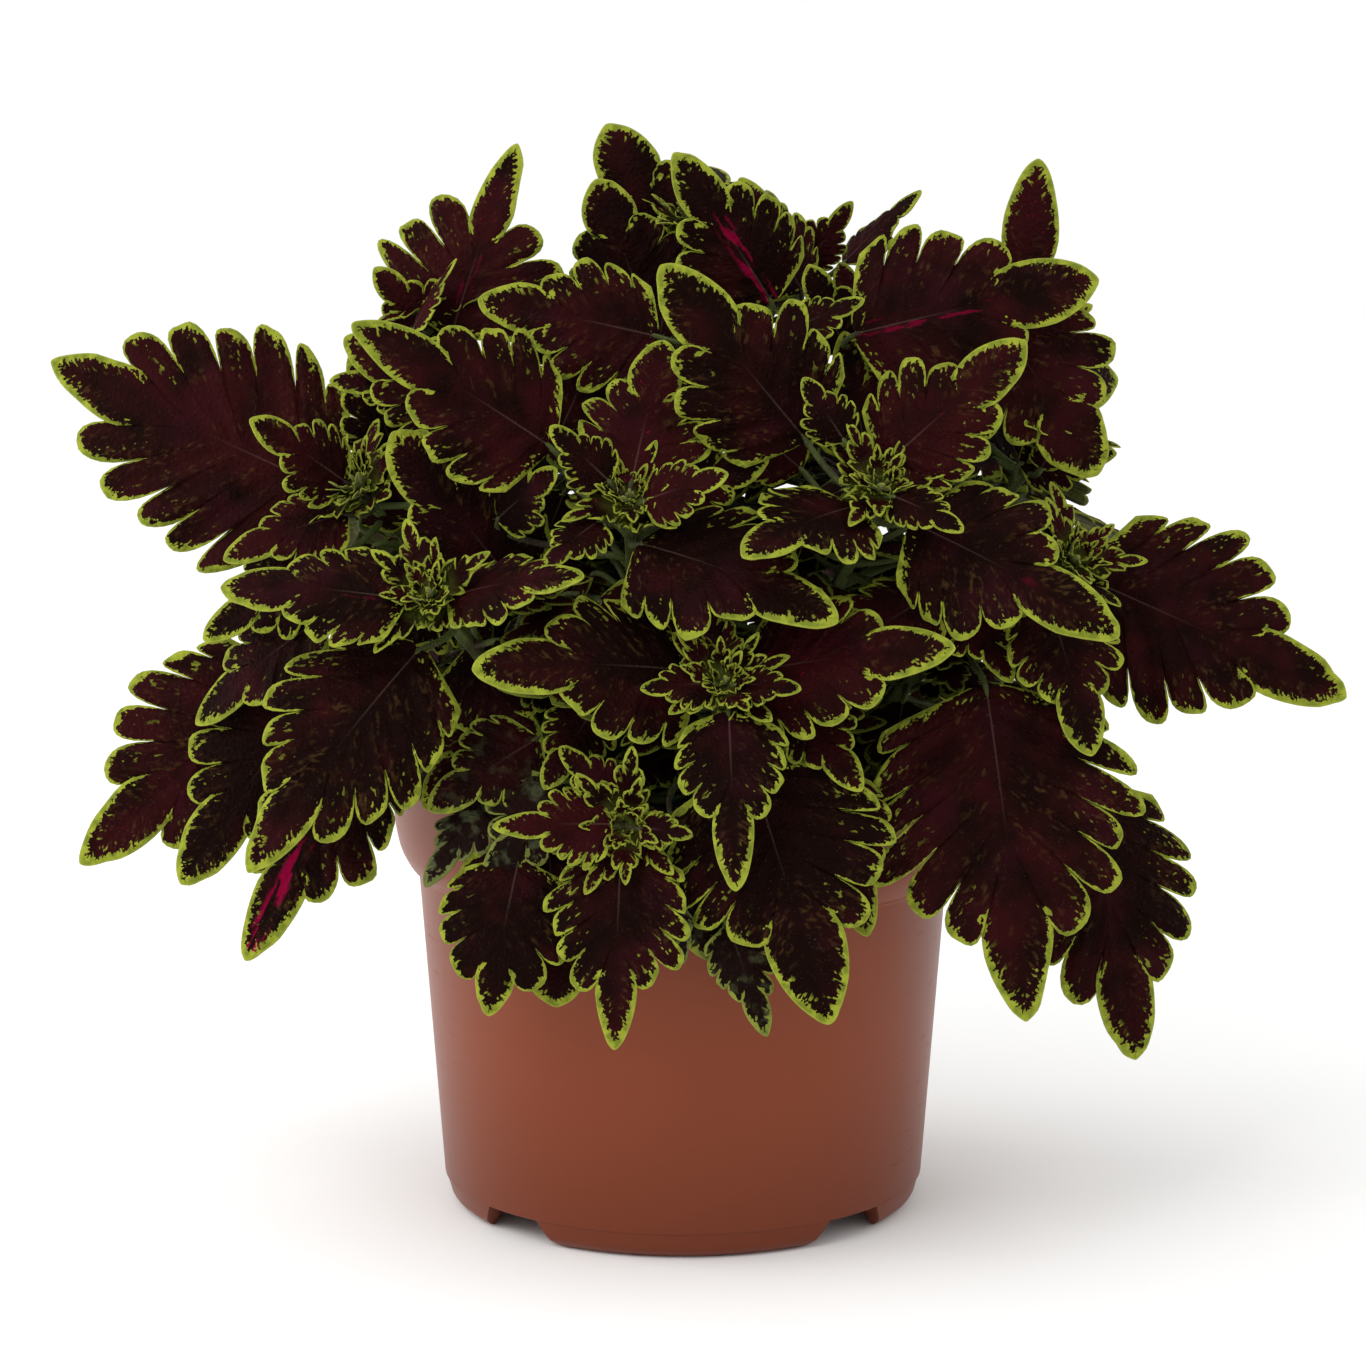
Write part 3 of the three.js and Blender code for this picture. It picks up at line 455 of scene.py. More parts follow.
def ripple(points, waves, seed):
    """A smooth uneven field from about -1 to 1: the mean of sine waves, each with its own
    wavelength from the list, and a heading and phase drawn for it."""
    rng = np.random.default_rng(seed)
    total = np.zeros(len(points))
    for wavelength in waves:
        way = unit(rng.normal(size=points.shape[1]))
        total += np.sin(2 * np.pi * (points @ way) / wavelength + rng.uniform(0, 2 * np.pi))
    return total / math.sqrt(len(waves))


# ------------------------------------------------------------------ leaves


class Leaf:
    """A leaf as planned: base and tip of its blade, the way its face is turned, the way it can be
    bent, and the point of the stem that its stalk springs from."""

    def __init__(self, base, tip, facing, away, joint=None, arch=0.06, width=1.0, step=4, sizes=(1,)):
        self.base, self.tip = np.array(base, float), np.array(tip, float)
        self.facing, self.away, self.joint = facing, away, joint
        self.arch, self.width, self.step, self.sizes = arch, width, step, sizes
        length = np.linalg.norm(self.tip - self.base)
        self.lobes = 5 if length > 75 else 4 if length > 50 else 3 if length > 30 else 2
        self.fine_lobes = int(np.clip(round(length / 17.5), 4, 6))
        self.tip_lobe, self.fine_width, self.fine_base, self.fine_tip = None, None, None, None
        self.young, self.withered, self.inner, self.behind = 0.0, 0.0, 0.0, False
        self.fold, self.splash, self.sinuses, self.number = 0.0, 0.0, 1.0, 0

    def take(self, traits):
        """Takes what is particular to this leaf."""
        for name, value in traits.items():
            setattr(self, name, value)

    def place(self, bend, size):
        """The blade's frame at a bend and size: base and tip are moved along `away`, the tip in
        full and the base by three tenths, and the midrib is a quadratic Bezier curve that
        arches towards the face."""
        base = self.base + self.away * (0.3 * bend * self.step)
        tip = self.base + size * (self.tip - self.base) + self.away * (bend * self.step)
        chord = tip - base
        self.length = float(np.linalg.norm(chord))
        self.side = unit(np.cross(chord, self.facing))
        normal = unit(np.cross(self.side, chord))
        middle = (base + tip) / 2 + normal * (self.arch * self.length)
        self.midrib = np.array([base, middle, tip])
        return self

    def points(self, along, across, lift):
        """Points of the placed blade: the midrib's point at `along`, moved sideways by `across`
        and off the surface by the lift, less a fall that grows with the square of `across`."""
        normal = unit(np.cross(self.side, bezier_headings(self.midrib, along)))
        fall = CUP * across**2 * self.length
        sideways = (across * self.width * self.length)[:, None] * self.side
        return bezier(self.midrib, along) + sideways + normal * (fall + lift)[:, None]


def lobed_side(part, within, depth):
    """One side's outline at parts of its lobed length. The line from a side vein's root on the
    midrib to its lobe's tip is followed to a reach of 1 in the middle of the lobe, and of 1 less
    the depth in the sinus, with the swell of a superellipse between. Returns the root, and the
    outline's along and across."""
    bulge = (1 - np.abs(2 * within - 1) ** LOBE_ROUNDNESS) ** (1 / LOBE_ROUNDNESS)
    reach = 1 - depth * (1 - bulge)
    root = np.interp(part, OUTLINE_PARTS, VEIN_ROOTS)
    tip_along = np.interp(part, OUTLINE_PARTS, TIP_ALONG)
    tip_across = np.interp(part, OUTLINE_PARTS, TIP_ACROSS)
    return root, root + reach * (tip_along - root), reach * tip_across


def tip_lobe_side(share, along, across):
    """The side of the pointed tip lobe, from its start at (along, across) to the tip: it narrows
    evenly, with a swell that dies away towards the tip."""
    swell = TIP_LOBE_SWELL * share * (1 - share) ** 1.1
    return along + share * (1 - along), across * (1 - share) + swell


def solid_outline(leaf):
    """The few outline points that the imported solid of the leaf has, on both its faces."""
    if leaf.young:
        lobes, inside, depth = 1, [0.5], 0.3
    else:
        lobes = leaf.lobes
        inside, depth = ([0.22, 0.78], 0.38) if lobes > 4 else ([0.5], 0.3)
    within = np.array([0, *inside] * lobes + [1.0])
    lobe = np.array([i for i in range(lobes) for _ in [0, *inside]] + [lobes - 1])
    _, along, across = lobed_side((lobe + within) / lobes, within, depth)
    end_along, end_across = tip_lobe_side(0.33, along[-1], across[-1])
    along = np.concatenate([along, [end_along], along, [end_along, 1]])
    across = np.concatenate([across, [end_across], -across, [-end_across, 0]])
    half = BLADE_THICKNESS / 2
    faces = [leaf.points(along, across, np.full(len(along), lift)) for lift in (half, -half)]
    return np.concatenate(faces)


def grown(leaf, corners):
    """Puts the leaf where its solid grew: at the bend and size whose outline meets the most
    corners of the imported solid. False where it didn't grow."""
    best = (LEAST_MET, None)
    for size in leaf.sizes:
        for bend in BENDS:
            outline = solid_outline(leaf.place(bend, size))
            gaps = np.linalg.norm(outline[:, None] - corners[None], axis=2).min(1)
            met = float((gaps < MET_WITHIN).mean())
            if met > best[0]:
                best = (met, (bend, size))
    if best[1] is None:
        return False
    leaf.base += leaf.away * (0.3 * best[1][0] * leaf.step)
    leaf.tip = leaf.place(*best[1]).midrib[2]
    return True


def stem_controls(root, apex, aim):
    """Controls of the stem's cubic Bezier curve: upright at the soil, along `aim` at the apex."""
    start, apex = np.array([*root, STEM_STRAIGHT_TOP], float), np.array(apex, float)
    reach = np.linalg.norm(apex - start)
    return [start, start + [0, 0, 0.4 * reach], apex - unit(np.array(aim, float)) * 0.3 * reach, apex]


class Draw:
    """Seeded draws from 0 to 1: each is the last times 16807, modulo 2147483647."""

    def __init__(self, seed):
        self.state = seed

    def __call__(self):
        self.state = self.state * 16807 % 2147483647
        return self.state / 2147483647


def front_leaves(controls, rows):
    """Leaves that are given by base and tip; each springs from the nearest point of the stem to a
    little below its base."""
    stem = bezier(controls, np.linspace(0, 1, 25))
    leaves = []
    for bx, by, bz, tx, ty, tz, turn, rise, arch, *width in rows:
        joint = stem[np.linalg.norm(stem - [bx, by, bz - 10], axis=1).argmin()]
        leaves.append(Leaf(
            (bx, by, bz), (tx, ty, tz), heading(turn - 90, rise), np.array([0, -0.98, 0.19]),
            joint, arch, *width,
        ))
    return leaves


def extra_leaves(controls, rows):
    """Leaves that the fine plant has besides those of its solids."""
    leaves = [leaf.place(0, 1) for leaf in front_leaves(controls, [row[1:] for row in rows])]
    for leaf, row in zip(leaves, rows):
        leaf.take(row[0])
    return leaves


def leaves_behind(controls, apex, rows, draw):
    """Leaves that are given by heading and rise, each a little off them by three draws."""
    outward = 0 if rows is not None else math.degrees(math.atan2(apex[1], apex[0]))
    leaves = []
    for turn, rise, size, height in BACK_LEAVES if rows is None else rows:
        azimuth = outward + turn + 16 * (draw() - 0.5)
        way = heading(azimuth, rise + 16 * (draw() - 0.5))
        length = size * (0.9 + 0.2 * draw())
        out = heading(azimuth, 0)
        joint = bezier(controls, np.array([height]))[0]
        base = joint + out * BEHIND_STALK + [0, 0, 6]
        facing = unit(np.array([0, 0, 1]) - 0.2 * out)
        leaf = Leaf(base, base + way * length, facing, facing, joint, step=6, sizes=(1, 0.8, 0.6))
        leaf.behind = True
        leaves.append(leaf)
    return leaves


def around(aim, angle, rise):
    """Two unit vectors at an apex: outwards from its aim at the angle, and the same one raised
    towards the aim."""
    across = unit(np.cross(aim, [1, 0, 0]))
    out = across * math.cos(angle) + np.cross(aim, across) * math.sin(angle)
    return out, out * math.cos(rise) + aim * math.sin(rise)


def young_leaves(apex, aim, pairs):
    """The crossed pairs of young leaves around an apex."""
    apex, aim = np.array(apex, float), unit(np.array(aim, float))
    leaves = []
    for pair in pairs:
        for half in (0, 180):
            out, way = around(aim, math.radians(pair["turn"] + half), math.radians(pair["rise"]))
            base = apex - aim * pair["below"] + out * 0.5
            leaf = Leaf(base, base + way * pair["length"], aim, aim, step=2)
            leaf.young, leaf.fine_lobes, leaf.fold, leaf.tip_lobe = 1.0, 4, 0.15, (0.9, 0.12)
            leaves.append(leaf)
    return leaves


def edge_tables(leaf):
    """Roots of the side veins, and the outline's along and across, at the edge's parts."""
    squeeze = leaf.tip_lobe[0]
    return squeeze * np.array(EDGE_ROOTS), squeeze * np.array(EDGE_ALONG), np.array(EDGE_ACROSS)


def own_tip_lobe(length, rng):
    """The tip lobe of a leaf that has none in the table of traits: the longer the leaf, the less
    its lobes are drawn together, and the narrower the tip lobe is for its length."""
    squeeze = np.interp(length, [55, 80, 110], [0.88, 0.9, 1.03])
    half = np.clip(8.5 / length, 0.075, 0.13)
    return squeeze + rng.uniform(-0.04, 0.04), half * rng.uniform(0.88, 1.1)


def fineness_of(leaf):
    """The steps of a blade: fewer where it is small or hidden."""
    if leaf.young:
        return FINENESS["young" if leaf.length > 12 else "tiny"]
    if leaf.inner or leaf.behind:
        return FINENESS["inner" if leaf.inner else "behind"]
    return FINENESS["large" if leaf.length > 45 else "small"]


def fine_side(tables, starts, lobe, within, depth):
    """One side's fine outline. Each lobe runs between two of the starts, which are parts of the
    lobed length; its fullest place is past its middle, so that it points towards the leaf's tip.
    The reach along the line from the side vein's root is 1 there, and 1 less the depth in the
    sinus, with the swell of a superellipse between."""
    part = starts[lobe] + within * (starts[lobe + 1] - starts[lobe])
    bulge = (1 - np.abs(2 * within**1.15 - 1) ** EDGE_ROUNDNESS) ** (1 / EDGE_ROUNDNESS)
    reach = 1 - depth * np.interp(part, EDGE_PARTS, SINUS_SHARES) * (1 - bulge)
    root, along, across = (np.interp(part, EDGE_PARTS, table) for table in tables)
    return root, root + reach * (along - root), reach * across


def half_grid(leaf, depth, rng):
    """One side of a blade as a grid: columns along the outline, closer together at the ends of
    each lobe, and rows from the midrib out to the edge, closer together towards the edge. Each
    lobe's width and reach are a little its own. The tip lobe is a lance that ends round: to the
    width left over from its sinus comes a swell of share^0.6 (1 - share)^0.65. The edge is uneven,
    by straight runs between random steps that are the same size all round the leaf.
    Returns along, across, and for each point its lobe, its place across the lobe, its share of
    the way out, and how near its column is to a lobe's tip."""
    in_lobe, in_tip, rows = fineness_of(leaf)
    lobes, tables = leaf.fine_lobes, edge_tables(leaf)
    step = (1 - np.cos(np.pi * np.arange(in_lobe) / in_lobe)) / 2
    lobe, within = np.repeat(np.arange(lobes), in_lobe), np.tile(step, lobes)
    lobe, within = np.append(lobe, lobes - 1), np.append(within, 1.0)
    starts = (np.arange(lobes + 1) + np.pad(rng.uniform(-0.1, 0.1, lobes - 1), 1)) / lobes
    root, along, across = fine_side(tables, starts, lobe, within, depth)
    own = rng.uniform(-0.1, 0.07, lobes)[lobe] * (1 - np.abs(2 * within - 1) ** 3)
    along, across = root + (1 + own) * (along - root), (1 + own) * across
    share = np.sin(np.linspace(0, np.pi / 2, in_tip + 1)[1:])
    lance = across[-1] * (1 - share) ** 2 + 2.2 * leaf.tip_lobe[1] * share**0.6 * (1 - share) ** 0.65
    root = np.append(root, tables[0][-1] + share * (1 - tables[0][-1]))
    along = np.append(along, along[-1] + share * (1 - along[-1]))
    across = np.append(across, lance)
    steps = rng.uniform(-UNEVEN_EDGE, UNEVEN_EDGE, len(root) // 2 + 2)
    steps = np.interp(np.arange(len(root)), 2.3 * np.arange(len(steps)), steps)
    stretch = 1 + steps / np.maximum(np.hypot(along - root, across), 0.06)
    along, across = root + stretch * (along - root), stretch * across
    lobe, within = np.append(lobe, np.full(in_tip, lobes)), np.append(within, 0.5 * share)
    near_tip = (1 - np.abs(2 * within - 1)) ** 1.3
    near_tip[-in_tip:] = share**0.7
    out = (1 - (1 - np.linspace(0, 1, rows + 1)) ** 1.5)[None]
    whole = np.ones_like(out)
    return {
        "along": root[:, None] + out * (along - root)[:, None],
        "across": out * across[:, None],
        "lobe": lobe[:, None] * whole,
        "within": within[:, None] * whole,
        "near_tip": near_tip[:, None] * whole,
        "out": out * np.ones((len(root), 1)),
    }


def distance_to_own_edge(flat, lobe, rows):
    """The distance of each flat point from the edge of its own lobe: to the nearest point of each
    of that edge's segments, and then the least of them. The lobe's number is given by column."""
    flat = flat.reshape(len(lobe), rows, 2)
    edge = np.zeros(flat.shape[:2])
    for number in np.unique(lobe):
        columns = np.flatnonzero(lobe == number)
        line = flat[columns[0]:columns[-1] + 2, -1]
        line = np.concatenate([flat[max(columns[0] - 1, 0), -1][None], line])
        step = np.diff(line, axis=0)
        points = flat[columns].reshape(-1, 2)
        share = ((points[:, None] - line[:-1]) * step).sum(2) / np.maximum((step**2).sum(1), 1e-12)
        nearest = line[:-1] + np.clip(share, 0, 1)[..., None] * step
        edge[columns] = np.linalg.norm(points[:, None] - nearest, axis=2).min(1).reshape(-1, rows)
    return edge.ravel()


def vein_distances(leaf, lobe, flat, turn):
    """The distance of each flat point from the midrib, and from the nearest vein: the midrib, or
    the straight line from the root of its lobe's side vein to the fullest place of the lobe."""
    middle = np.minimum(lobe + 0.55, leaf.fine_lobes) / leaf.fine_lobes
    root, along, across = (np.interp(middle, EDGE_PARTS, table) for table in edge_tables(leaf))
    way = unit(np.stack([along - root, turn * leaf.width * across], 1))
    from_root = flat / leaf.length - np.stack([root, 0 * root], 1)
    from_vein = leaf.length * np.abs(from_root[:, 0] * way[:, 1] - from_root[:, 1] * way[:, 0])
    midrib = np.abs(flat[:, 1])
    return midrib, np.where(lobe < leaf.fine_lobes, np.minimum(midrib, from_vein), midrib)


def blade_side(leaf, grid, turn, phase, settings):
    """One side of a blade: the points of its upper and its lower face, and the values that the
    finishes read there. The surface puffs up between the veins, by 1 less a bell curve of the
    distance from the nearest vein, and towards the edge it waves gently up and down; the two
    faces lie half a thickness off it, thinner towards the edge, and the veins stand out below."""
    along, across, lobe, within, near_tip, out = (part.ravel() for part in grid.values())
    across, length = turn * across, leaf.length
    flat = np.stack([along, across * leaf.width], 1) * length
    edge = distance_to_own_edge(flat, grid["lobe"][:, -1], grid["lobe"].shape[1])
    midrib, vein = vein_distances(leaf, lobe, flat, turn)
    inside = np.clip(edge / THINNING, 0, 1)
    puff = (1 - np.exp(-((vein / GROOVE) ** 2))) * inside
    pillows = 0.75 + 0.25 * np.cos(2 * np.pi * (3.4 * out + 0.37 * lobe))
    wave = np.sin(np.pi * (lobe + 2 * within) + phase) * np.clip(2 - 2 * along, 0, 1) * out**2
    surface = settings.puffing * min(1.0, length / 80) * puff * pillows
    surface = surface + settings.waviness * (4 if leaf.young else 1) * length * wave
    surface = surface + leaf.fold * length * np.abs(across) * leaf.width
    half = EDGE_HALF + (BLADE_THICKNESS / 2 - EDGE_HALF) * inside
    rib = 0.8 * (1 - along) * np.exp(-((midrib / MIDRIB_RIB) ** 2))
    rib = rib + 0.25 * np.exp(-((vein / VEIN_RIB) ** 2))
    thin = min(1.0, 0.35 + length / 60)
    upper = leaf.points(along, across, surface + half * thin)
    lower = leaf.points(along, across, surface - (half + rib * inside) * thin)
    # On leaves inside the plant the margin is a quarter narrower, so that less lime shows there: painted
    # shade, like their dull margin colour.
    scale = np.interp(length, [8, 25, 55, 90], [0.25, 0.4, 0.85, 1]) * (1 - 0.25 * leaf.inner)
    width = settings.margin_width * scale * (0.16 + 0.84 * near_tip)
    width = width * np.where(lobe < leaf.fine_lobes, 1, 1.2)
    tone = np.random.default_rng(leaf.number).uniform(0, 1)
    everywhere = np.ones(len(flat))
    return upper, lower, {
        "lime": edge / width,
        "vein": vein,
        "near_tip": near_tip,
        "leaf_place": np.stack([*flat.T, PLACE_STEP * leaf.number * everywhere], 1),
        "leaf_look": np.stack([tone * everywhere, leaf.splash * everywhere, along], 1),
        "leaf_kind": np.tile([leaf.young, leaf.withered, leaf.inner], (len(flat), 1)),
    }


def add_blade(skin, leaf, settings):
    """Adds a blade as one closed skin: its two sides, each with an upper and a lower face, which
    a strip joins along the edge and another at the base."""
    rng = np.random.default_rng(1000 + leaf.number)
    depth = settings.sinus_depth * leaf.sinuses * (1.3 if leaf.young else 1.0)
    if leaf.tip_lobe is None:
        leaf.tip_lobe = own_tip_lobe(leaf.length, rng)
    grids = [half_grid(leaf, depth, rng) for _ in (0, 1)]
    phases = rng.uniform(0, 2 * np.pi, 2)
    columns, rows = grids[0]["along"].shape
    size, quad = columns * rows, grid_triangles(columns, rows)
    brim = np.arange(columns - 1) * rows + rows - 1
    foot = np.arange(rows - 1)
    points, triangles, finish, values = [], [], [], {name: [] for name in Skin.VALUES}
    for turn, grid, phase in zip((1, -1), grids, phases):
        first = size * len(points)
        upper, lower, here = blade_side(leaf, grid, turn, phase, settings)
        points += [upper, lower]
        parts = [
            quad + first,
            quad[:, ::-1] + first + size,
            strip(first + brim, first + brim + rows, size),
            strip(first + foot, first + foot + 1, size),
        ]
        triangles += [part[:, ::-1] if turn < 0 else part for part in parts]
        kinds = zip(parts, (UPPER, UNDER, UPPER, UNDER))
        finish += [np.full(len(part), kind) for part, kind in kinds]
        for name, value in here.items():
            values[name] += [value, value]
    values = {name: np.concatenate(value) for name, value in values.items()}
    skin.add(np.concatenate(points), np.concatenate(triangles), np.concatenate(finish), **values)


def strip(a, b, below):
    """Triangles of a strip between two rows of points and the same rows `below` numbers on."""
    return np.concatenate([np.stack([a, a + below, b + below], 1), np.stack([a, b + below, b], 1)])


def add_tube(skin, line, radii, sides, side, corner=0.0, hairy=True):
    """Adds a tube along a line of points: rings of the radius times 1 less the corner, less the
    corner times the cosine of four times the angle, so that it is square with round corners
    where the corner is above 0. Each end is drawn together to a point. A hairy tube has hairs
    that stand on points drawn between its rings."""
    line = np.concatenate([line[:1], line, line[-1:]])
    radii = np.concatenate([[0], radii, [0]])
    steps = np.gradient(line[1:-1], axis=0)
    along = unit(np.concatenate([steps[:1], steps, steps[-1:]]))
    across = unit(side - along * (along @ side)[:, None])
    up = np.cross(along, across)
    angle = np.linspace(0, 2 * np.pi, sides, endpoint=False)
    reach = radii[:, None] * (1 - corner - corner * np.cos(4 * angle))
    points = line[:, None] + (reach * np.cos(angle))[..., None] * across[:, None]
    points = points + (reach * np.sin(angle))[..., None] * up[:, None]
    skin.add(points.reshape(-1, 3), grid_triangles(len(line), sides, wrap=True), STEM)
    if not hairy:
        return
    rng = np.random.default_rng(int(abs(line[-1]).sum() * 10))
    length = np.linalg.norm(np.diff(line, axis=0), axis=1).sum()
    weight = rng.uniform(0, 1, (len(line), sides, 1))[:-1]
    roots = points[:-1] + weight * np.diff(points, axis=0)
    outward = unit(roots - (line[:-1, None] + weight * np.diff(line, axis=0)[:, None]) + 1e-9)
    roots, outward = roots[1:-1].reshape(-1, 3), outward[1:-1].reshape(-1, 3)
    skin.add(*hairs(roots, outward, int(HAIR["per_mm"] * length), rng), DOWN)


def add_stem(skin, root, controls):
    """Adds the square stem, a little thicker at the joints where its pairs of leaves spring."""
    share = np.linspace(0, 1, STEM_STEPS)
    line = np.concatenate([[[*root, STEM_BOTTOM]], bezier(controls, share)])
    radii = STEM_RADIUS["root"] + (STEM_RADIUS["apex"] - STEM_RADIUS["root"]) * share
    radii = radii + 0.35 * np.exp(-(((share * 6) % 1 - 0.5) / 0.12) ** 2)
    radii = np.append(STEM_RADIUS["root"], radii)
    add_tube(skin, line, radii, STEM_SIDES, np.array([1.0, 0, 0]), corner=0.14)


def add_stalk(skin, leaf):
    """Adds the stalk: a cubic Bezier curve from inside the stem, sagging a little, that comes into
    the blade's base along its midrib and ends under it."""
    base, way = leaf.midrib[0], unit(leaf.midrib[1] - leaf.midrib[0])
    reach = np.linalg.norm(base - leaf.joint)
    out = unit(base - leaf.joint)
    sag = np.array([0, 0, -0.06 * min(leaf.length, 3 * reach)])
    leaving = leaf.joint + out * 0.35 * reach + sag
    controls = [leaf.joint, leaving, base - way * 0.3 * reach + sag / 2, base]
    ends = [base + way * share * leaf.length for share in (0.04, 0.12)]
    line = np.concatenate([bezier(controls, np.linspace(0, 1, STALK_STEPS)), ends])
    line[-2:] -= unit(np.cross(leaf.side, way)) * 0.5
    thickness = [STALK_RADIUS["stem"] + 0.2, STALK_RADIUS["blade"] + 0.1, 0.35]
    radii = np.interp(np.linspace(0, 1, len(line)), [0, 0.8, 1], thickness)
    add_tube(skin, line, radii, STALK_SIDES, leaf.side, hairy=not leaf.inner)


def shoot_bud(apex, aim, seed):
    """The youngest leaves at an apex: small ones that stand up around it, turned by the golden
    angle from one to the next, shorter and steeper towards the middle. The outer ones curl back
    and the inner ones close over the middle."""
    rng = np.random.default_rng(seed)
    apex, aim = np.array(apex, float), unit(np.array(aim, float))
    leaves = []
    for i in range(BUD_LEAVES):
        angle = GOLDEN_ANGLE * i + rng.uniform(-0.3, 0.3)
        out, way = around(aim, angle, math.radians(12 + 5.4 * i + rng.uniform(-8, 8)))
        base = apex - aim * (2.5 - 0.25 * i) + out
        length = 26 - 1.5 * i + rng.uniform(-2, 2)
        tip, facing = base + way * length, unit(aim - 0.5 * out)
        leaf = Leaf(base, tip, facing, aim, arch=0.12 - 0.025 * i, width=0.75)
        leaf.young, leaf.fold = 1.0, 0.25
        leaf.tip_lobe = rng.uniform(0.9, 1.05), 0.12
        leaf.fine_lobes = 3 if length > 11 else 2
        leaves.append(leaf.place(0, 1))
    return leaves


def spread(leaf):
    """Points about 4 mm apart all over a placed blade, the first on its midrib."""
    along, across = np.meshgrid(np.linspace(0.02, 1, 14), np.linspace(-1, 1, 13), indexing="ij")
    along, reach = along.ravel(), across.ravel()
    across = reach * np.interp(along, [0, 0.1, 0.3, 0.55, 0.8, 1], [0.2, 0.34, 0.38, 0.32, 0.16, 0])
    return leaf.points(along, across, 0 * along)


def inner_leaves(shoots, taken, rng):
    """Leaves that fill the inside of the plant, on stalks from the lower stems. Each is drawn at
    a height on its stem, a heading and a rise, and grows only where its blade stays clear of all
    that is there, inside an ellipsoid. The last are drawn low down, turned away from the pot's
    axis. Returns a list for each shoot."""
    grown_here = [[] for _ in shoots]
    for attempt in range(INNER_TRIES):
        number = attempt % len(shoots)
        joint = bezier(shoots[number], rng.uniform(0.3, 1.0, 1))[0]
        azimuth, rise = rng.uniform(0, 360), rng.uniform(-50, 20)
        length = rng.uniform(26, 58) if attempt < SHORTER_FROM else rng.uniform(18, 36)
        if attempt > LOW_AFTER:
            joint = bezier(shoots[number], rng.uniform(0.02, 0.4, 1))[0]
            azimuth = math.degrees(math.atan2(joint[1], joint[0])) + rng.uniform(-70, 70)
            rise, length = rng.uniform(-25, 40), rng.uniform(24, 46)
        out = heading(azimuth, rng.uniform(-10, 25))
        base = joint + out * rng.uniform(8, 30)
        tip = base + heading(azimuth + rng.uniform(-20, 20), rise) * length
        facing = unit(np.array([0, -0.35, 1]) + 0.5 * heading(azimuth, 0))
        leaf = Leaf(base, tip, facing, facing, joint, arch=0.05)
        here = spread(leaf.place(0, 1))
        heart = (here - HEART_CENTRE) / HEART_REACH
        if here[:, 2].min() < LOWEST_LEAF or (heart**2).sum(1).max() > 1:
            continue
        near = taken[((taken - here.mean(0)) ** 2).sum(1) < (length * 0.6 + 4) ** 2]
        squares = (here**2).sum(1)[:, None] + (near**2).sum(1) - 2 * here @ near.T
        if squares.size and squares.min() < LEAF_GAP**2:
            continue
        leaf.inner, leaf.fine_lobes = 1.0, 3
        taken = np.concatenate([taken, here])
        grown_here[number].append(leaf)
    return grown_here


def hairs(points, outward, count, rng):
    """Short hairs as closed three-sided spikes: each stands on a point drawn from the given ones,
    along its outward way and a little aslant. Returns their points and triangles."""
    chosen = rng.integers(0, len(points), count)
    root, way = points[chosen], outward[chosen]
    way = unit(way + rng.normal(0, 0.35, (count, 3)))
    side = unit(np.cross(way, rng.normal(size=(count, 3))))
    third = np.cross(way, side)
    ring = [
        root + HAIR["radius"] * (math.cos(angle) * side + math.sin(angle) * third)
        for angle in (0, 2.094, 4.189)
    ]
    tip = root + way * rng.uniform(HAIR["shortest"], HAIR["longest"], (count, 1))
    corners = np.stack([*ring, tip], 1).reshape(-1, 3)
    faces = np.array([[0, 1, 3], [1, 2, 3], [2, 0, 3], [2, 1, 0]])
    return corners, (faces[None] + 4 * np.arange(count)[:, None, None]).reshape(-1, 3)


# ------------------------------------------------------------------ finishes


def node(tree, kind, inputs=(), **settings):
    """A shader node with its settings and inputs; an input that is a socket is linked to it."""
    made = tree.nodes.new("ShaderNode" + kind)
    for name, value in settings.items():
        setattr(made, name, value)
    for name, value in dict(inputs).items():
        socket = made.inputs[name]
        if isinstance(value, bpy.types.NodeSocket):
            tree.links.new(value, socket)
        else:
            socket.default_value = value
    return made


def calc(tree, operation, *values, clamp=False):
    """The result of that operation on the values."""
    return node(tree, "Math", dict(enumerate(values)), operation=operation, use_clamp=clamp).outputs[0]


def rise_between(tree, value, low, high):
    """0 below low, 1 above high, and a smooth rise between them."""
    return node(tree, "MapRange", {0: value, 1: low, 2: high}, interpolation_type="SMOOTHSTEP").outputs[0]


def fall_between(tree, value, low, high):
    """1 below low, 0 above high, and a smooth fall between them."""
    return calc(tree, "SUBTRACT", 1.0, rise_between(tree, value, low, high))


def times(tree, *values):
    """The product of the values."""
    total = values[0]
    for value in values[1:]:
        total = calc(tree, "MULTIPLY", total, value)
    return total


def mixed(tree, share, first, second):
    """The first colour where the share is 0, the second where it is 1. A colour is a socket or
    its three parts."""
    first, second = (
        colour if isinstance(colour, bpy.types.NodeSocket) else (*colour, 1)
        for colour in (first, second)
    )
    return node(tree, "Mix", {0: share, 6: first, 7: second}, data_type="RGBA").outputs[2]


def noise(tree, place, scale, detail=2.0):
    """Soft noise around one half, with about that many waves in each unit of the place."""
    return node(tree, "TexNoise", {"Vector": place, "Scale": scale, "Detail": detail}).outputs[0]


def clouds(tree, place, scale, detail, low, high):
    """Clouds in a soft noise: 0 where it is below low, 1 where it is above high."""
    return rise_between(tree, noise(tree, place, scale, detail), low, high)


def read(tree, name, output="Fac"):
    """A value of the mesh at this point."""
    return node(tree, "Attribute", attribute_name=name, attribute_type="GEOMETRY").outputs[output]


def new_material(name, tint, roughness, specular=0.5):
    """A material with its tree and its Principled BSDF."""
    material = bpy.data.materials.new(name)
    material.use_nodes = True
    material.diffuse_color = (*tint, 1)
    tree = material.node_tree
    shader = tree.nodes["Principled BSDF"]
    shader.inputs["Roughness"].default_value = roughness
    shader.inputs["Specular IOR Level"].default_value = specular
    return material, tree, shader


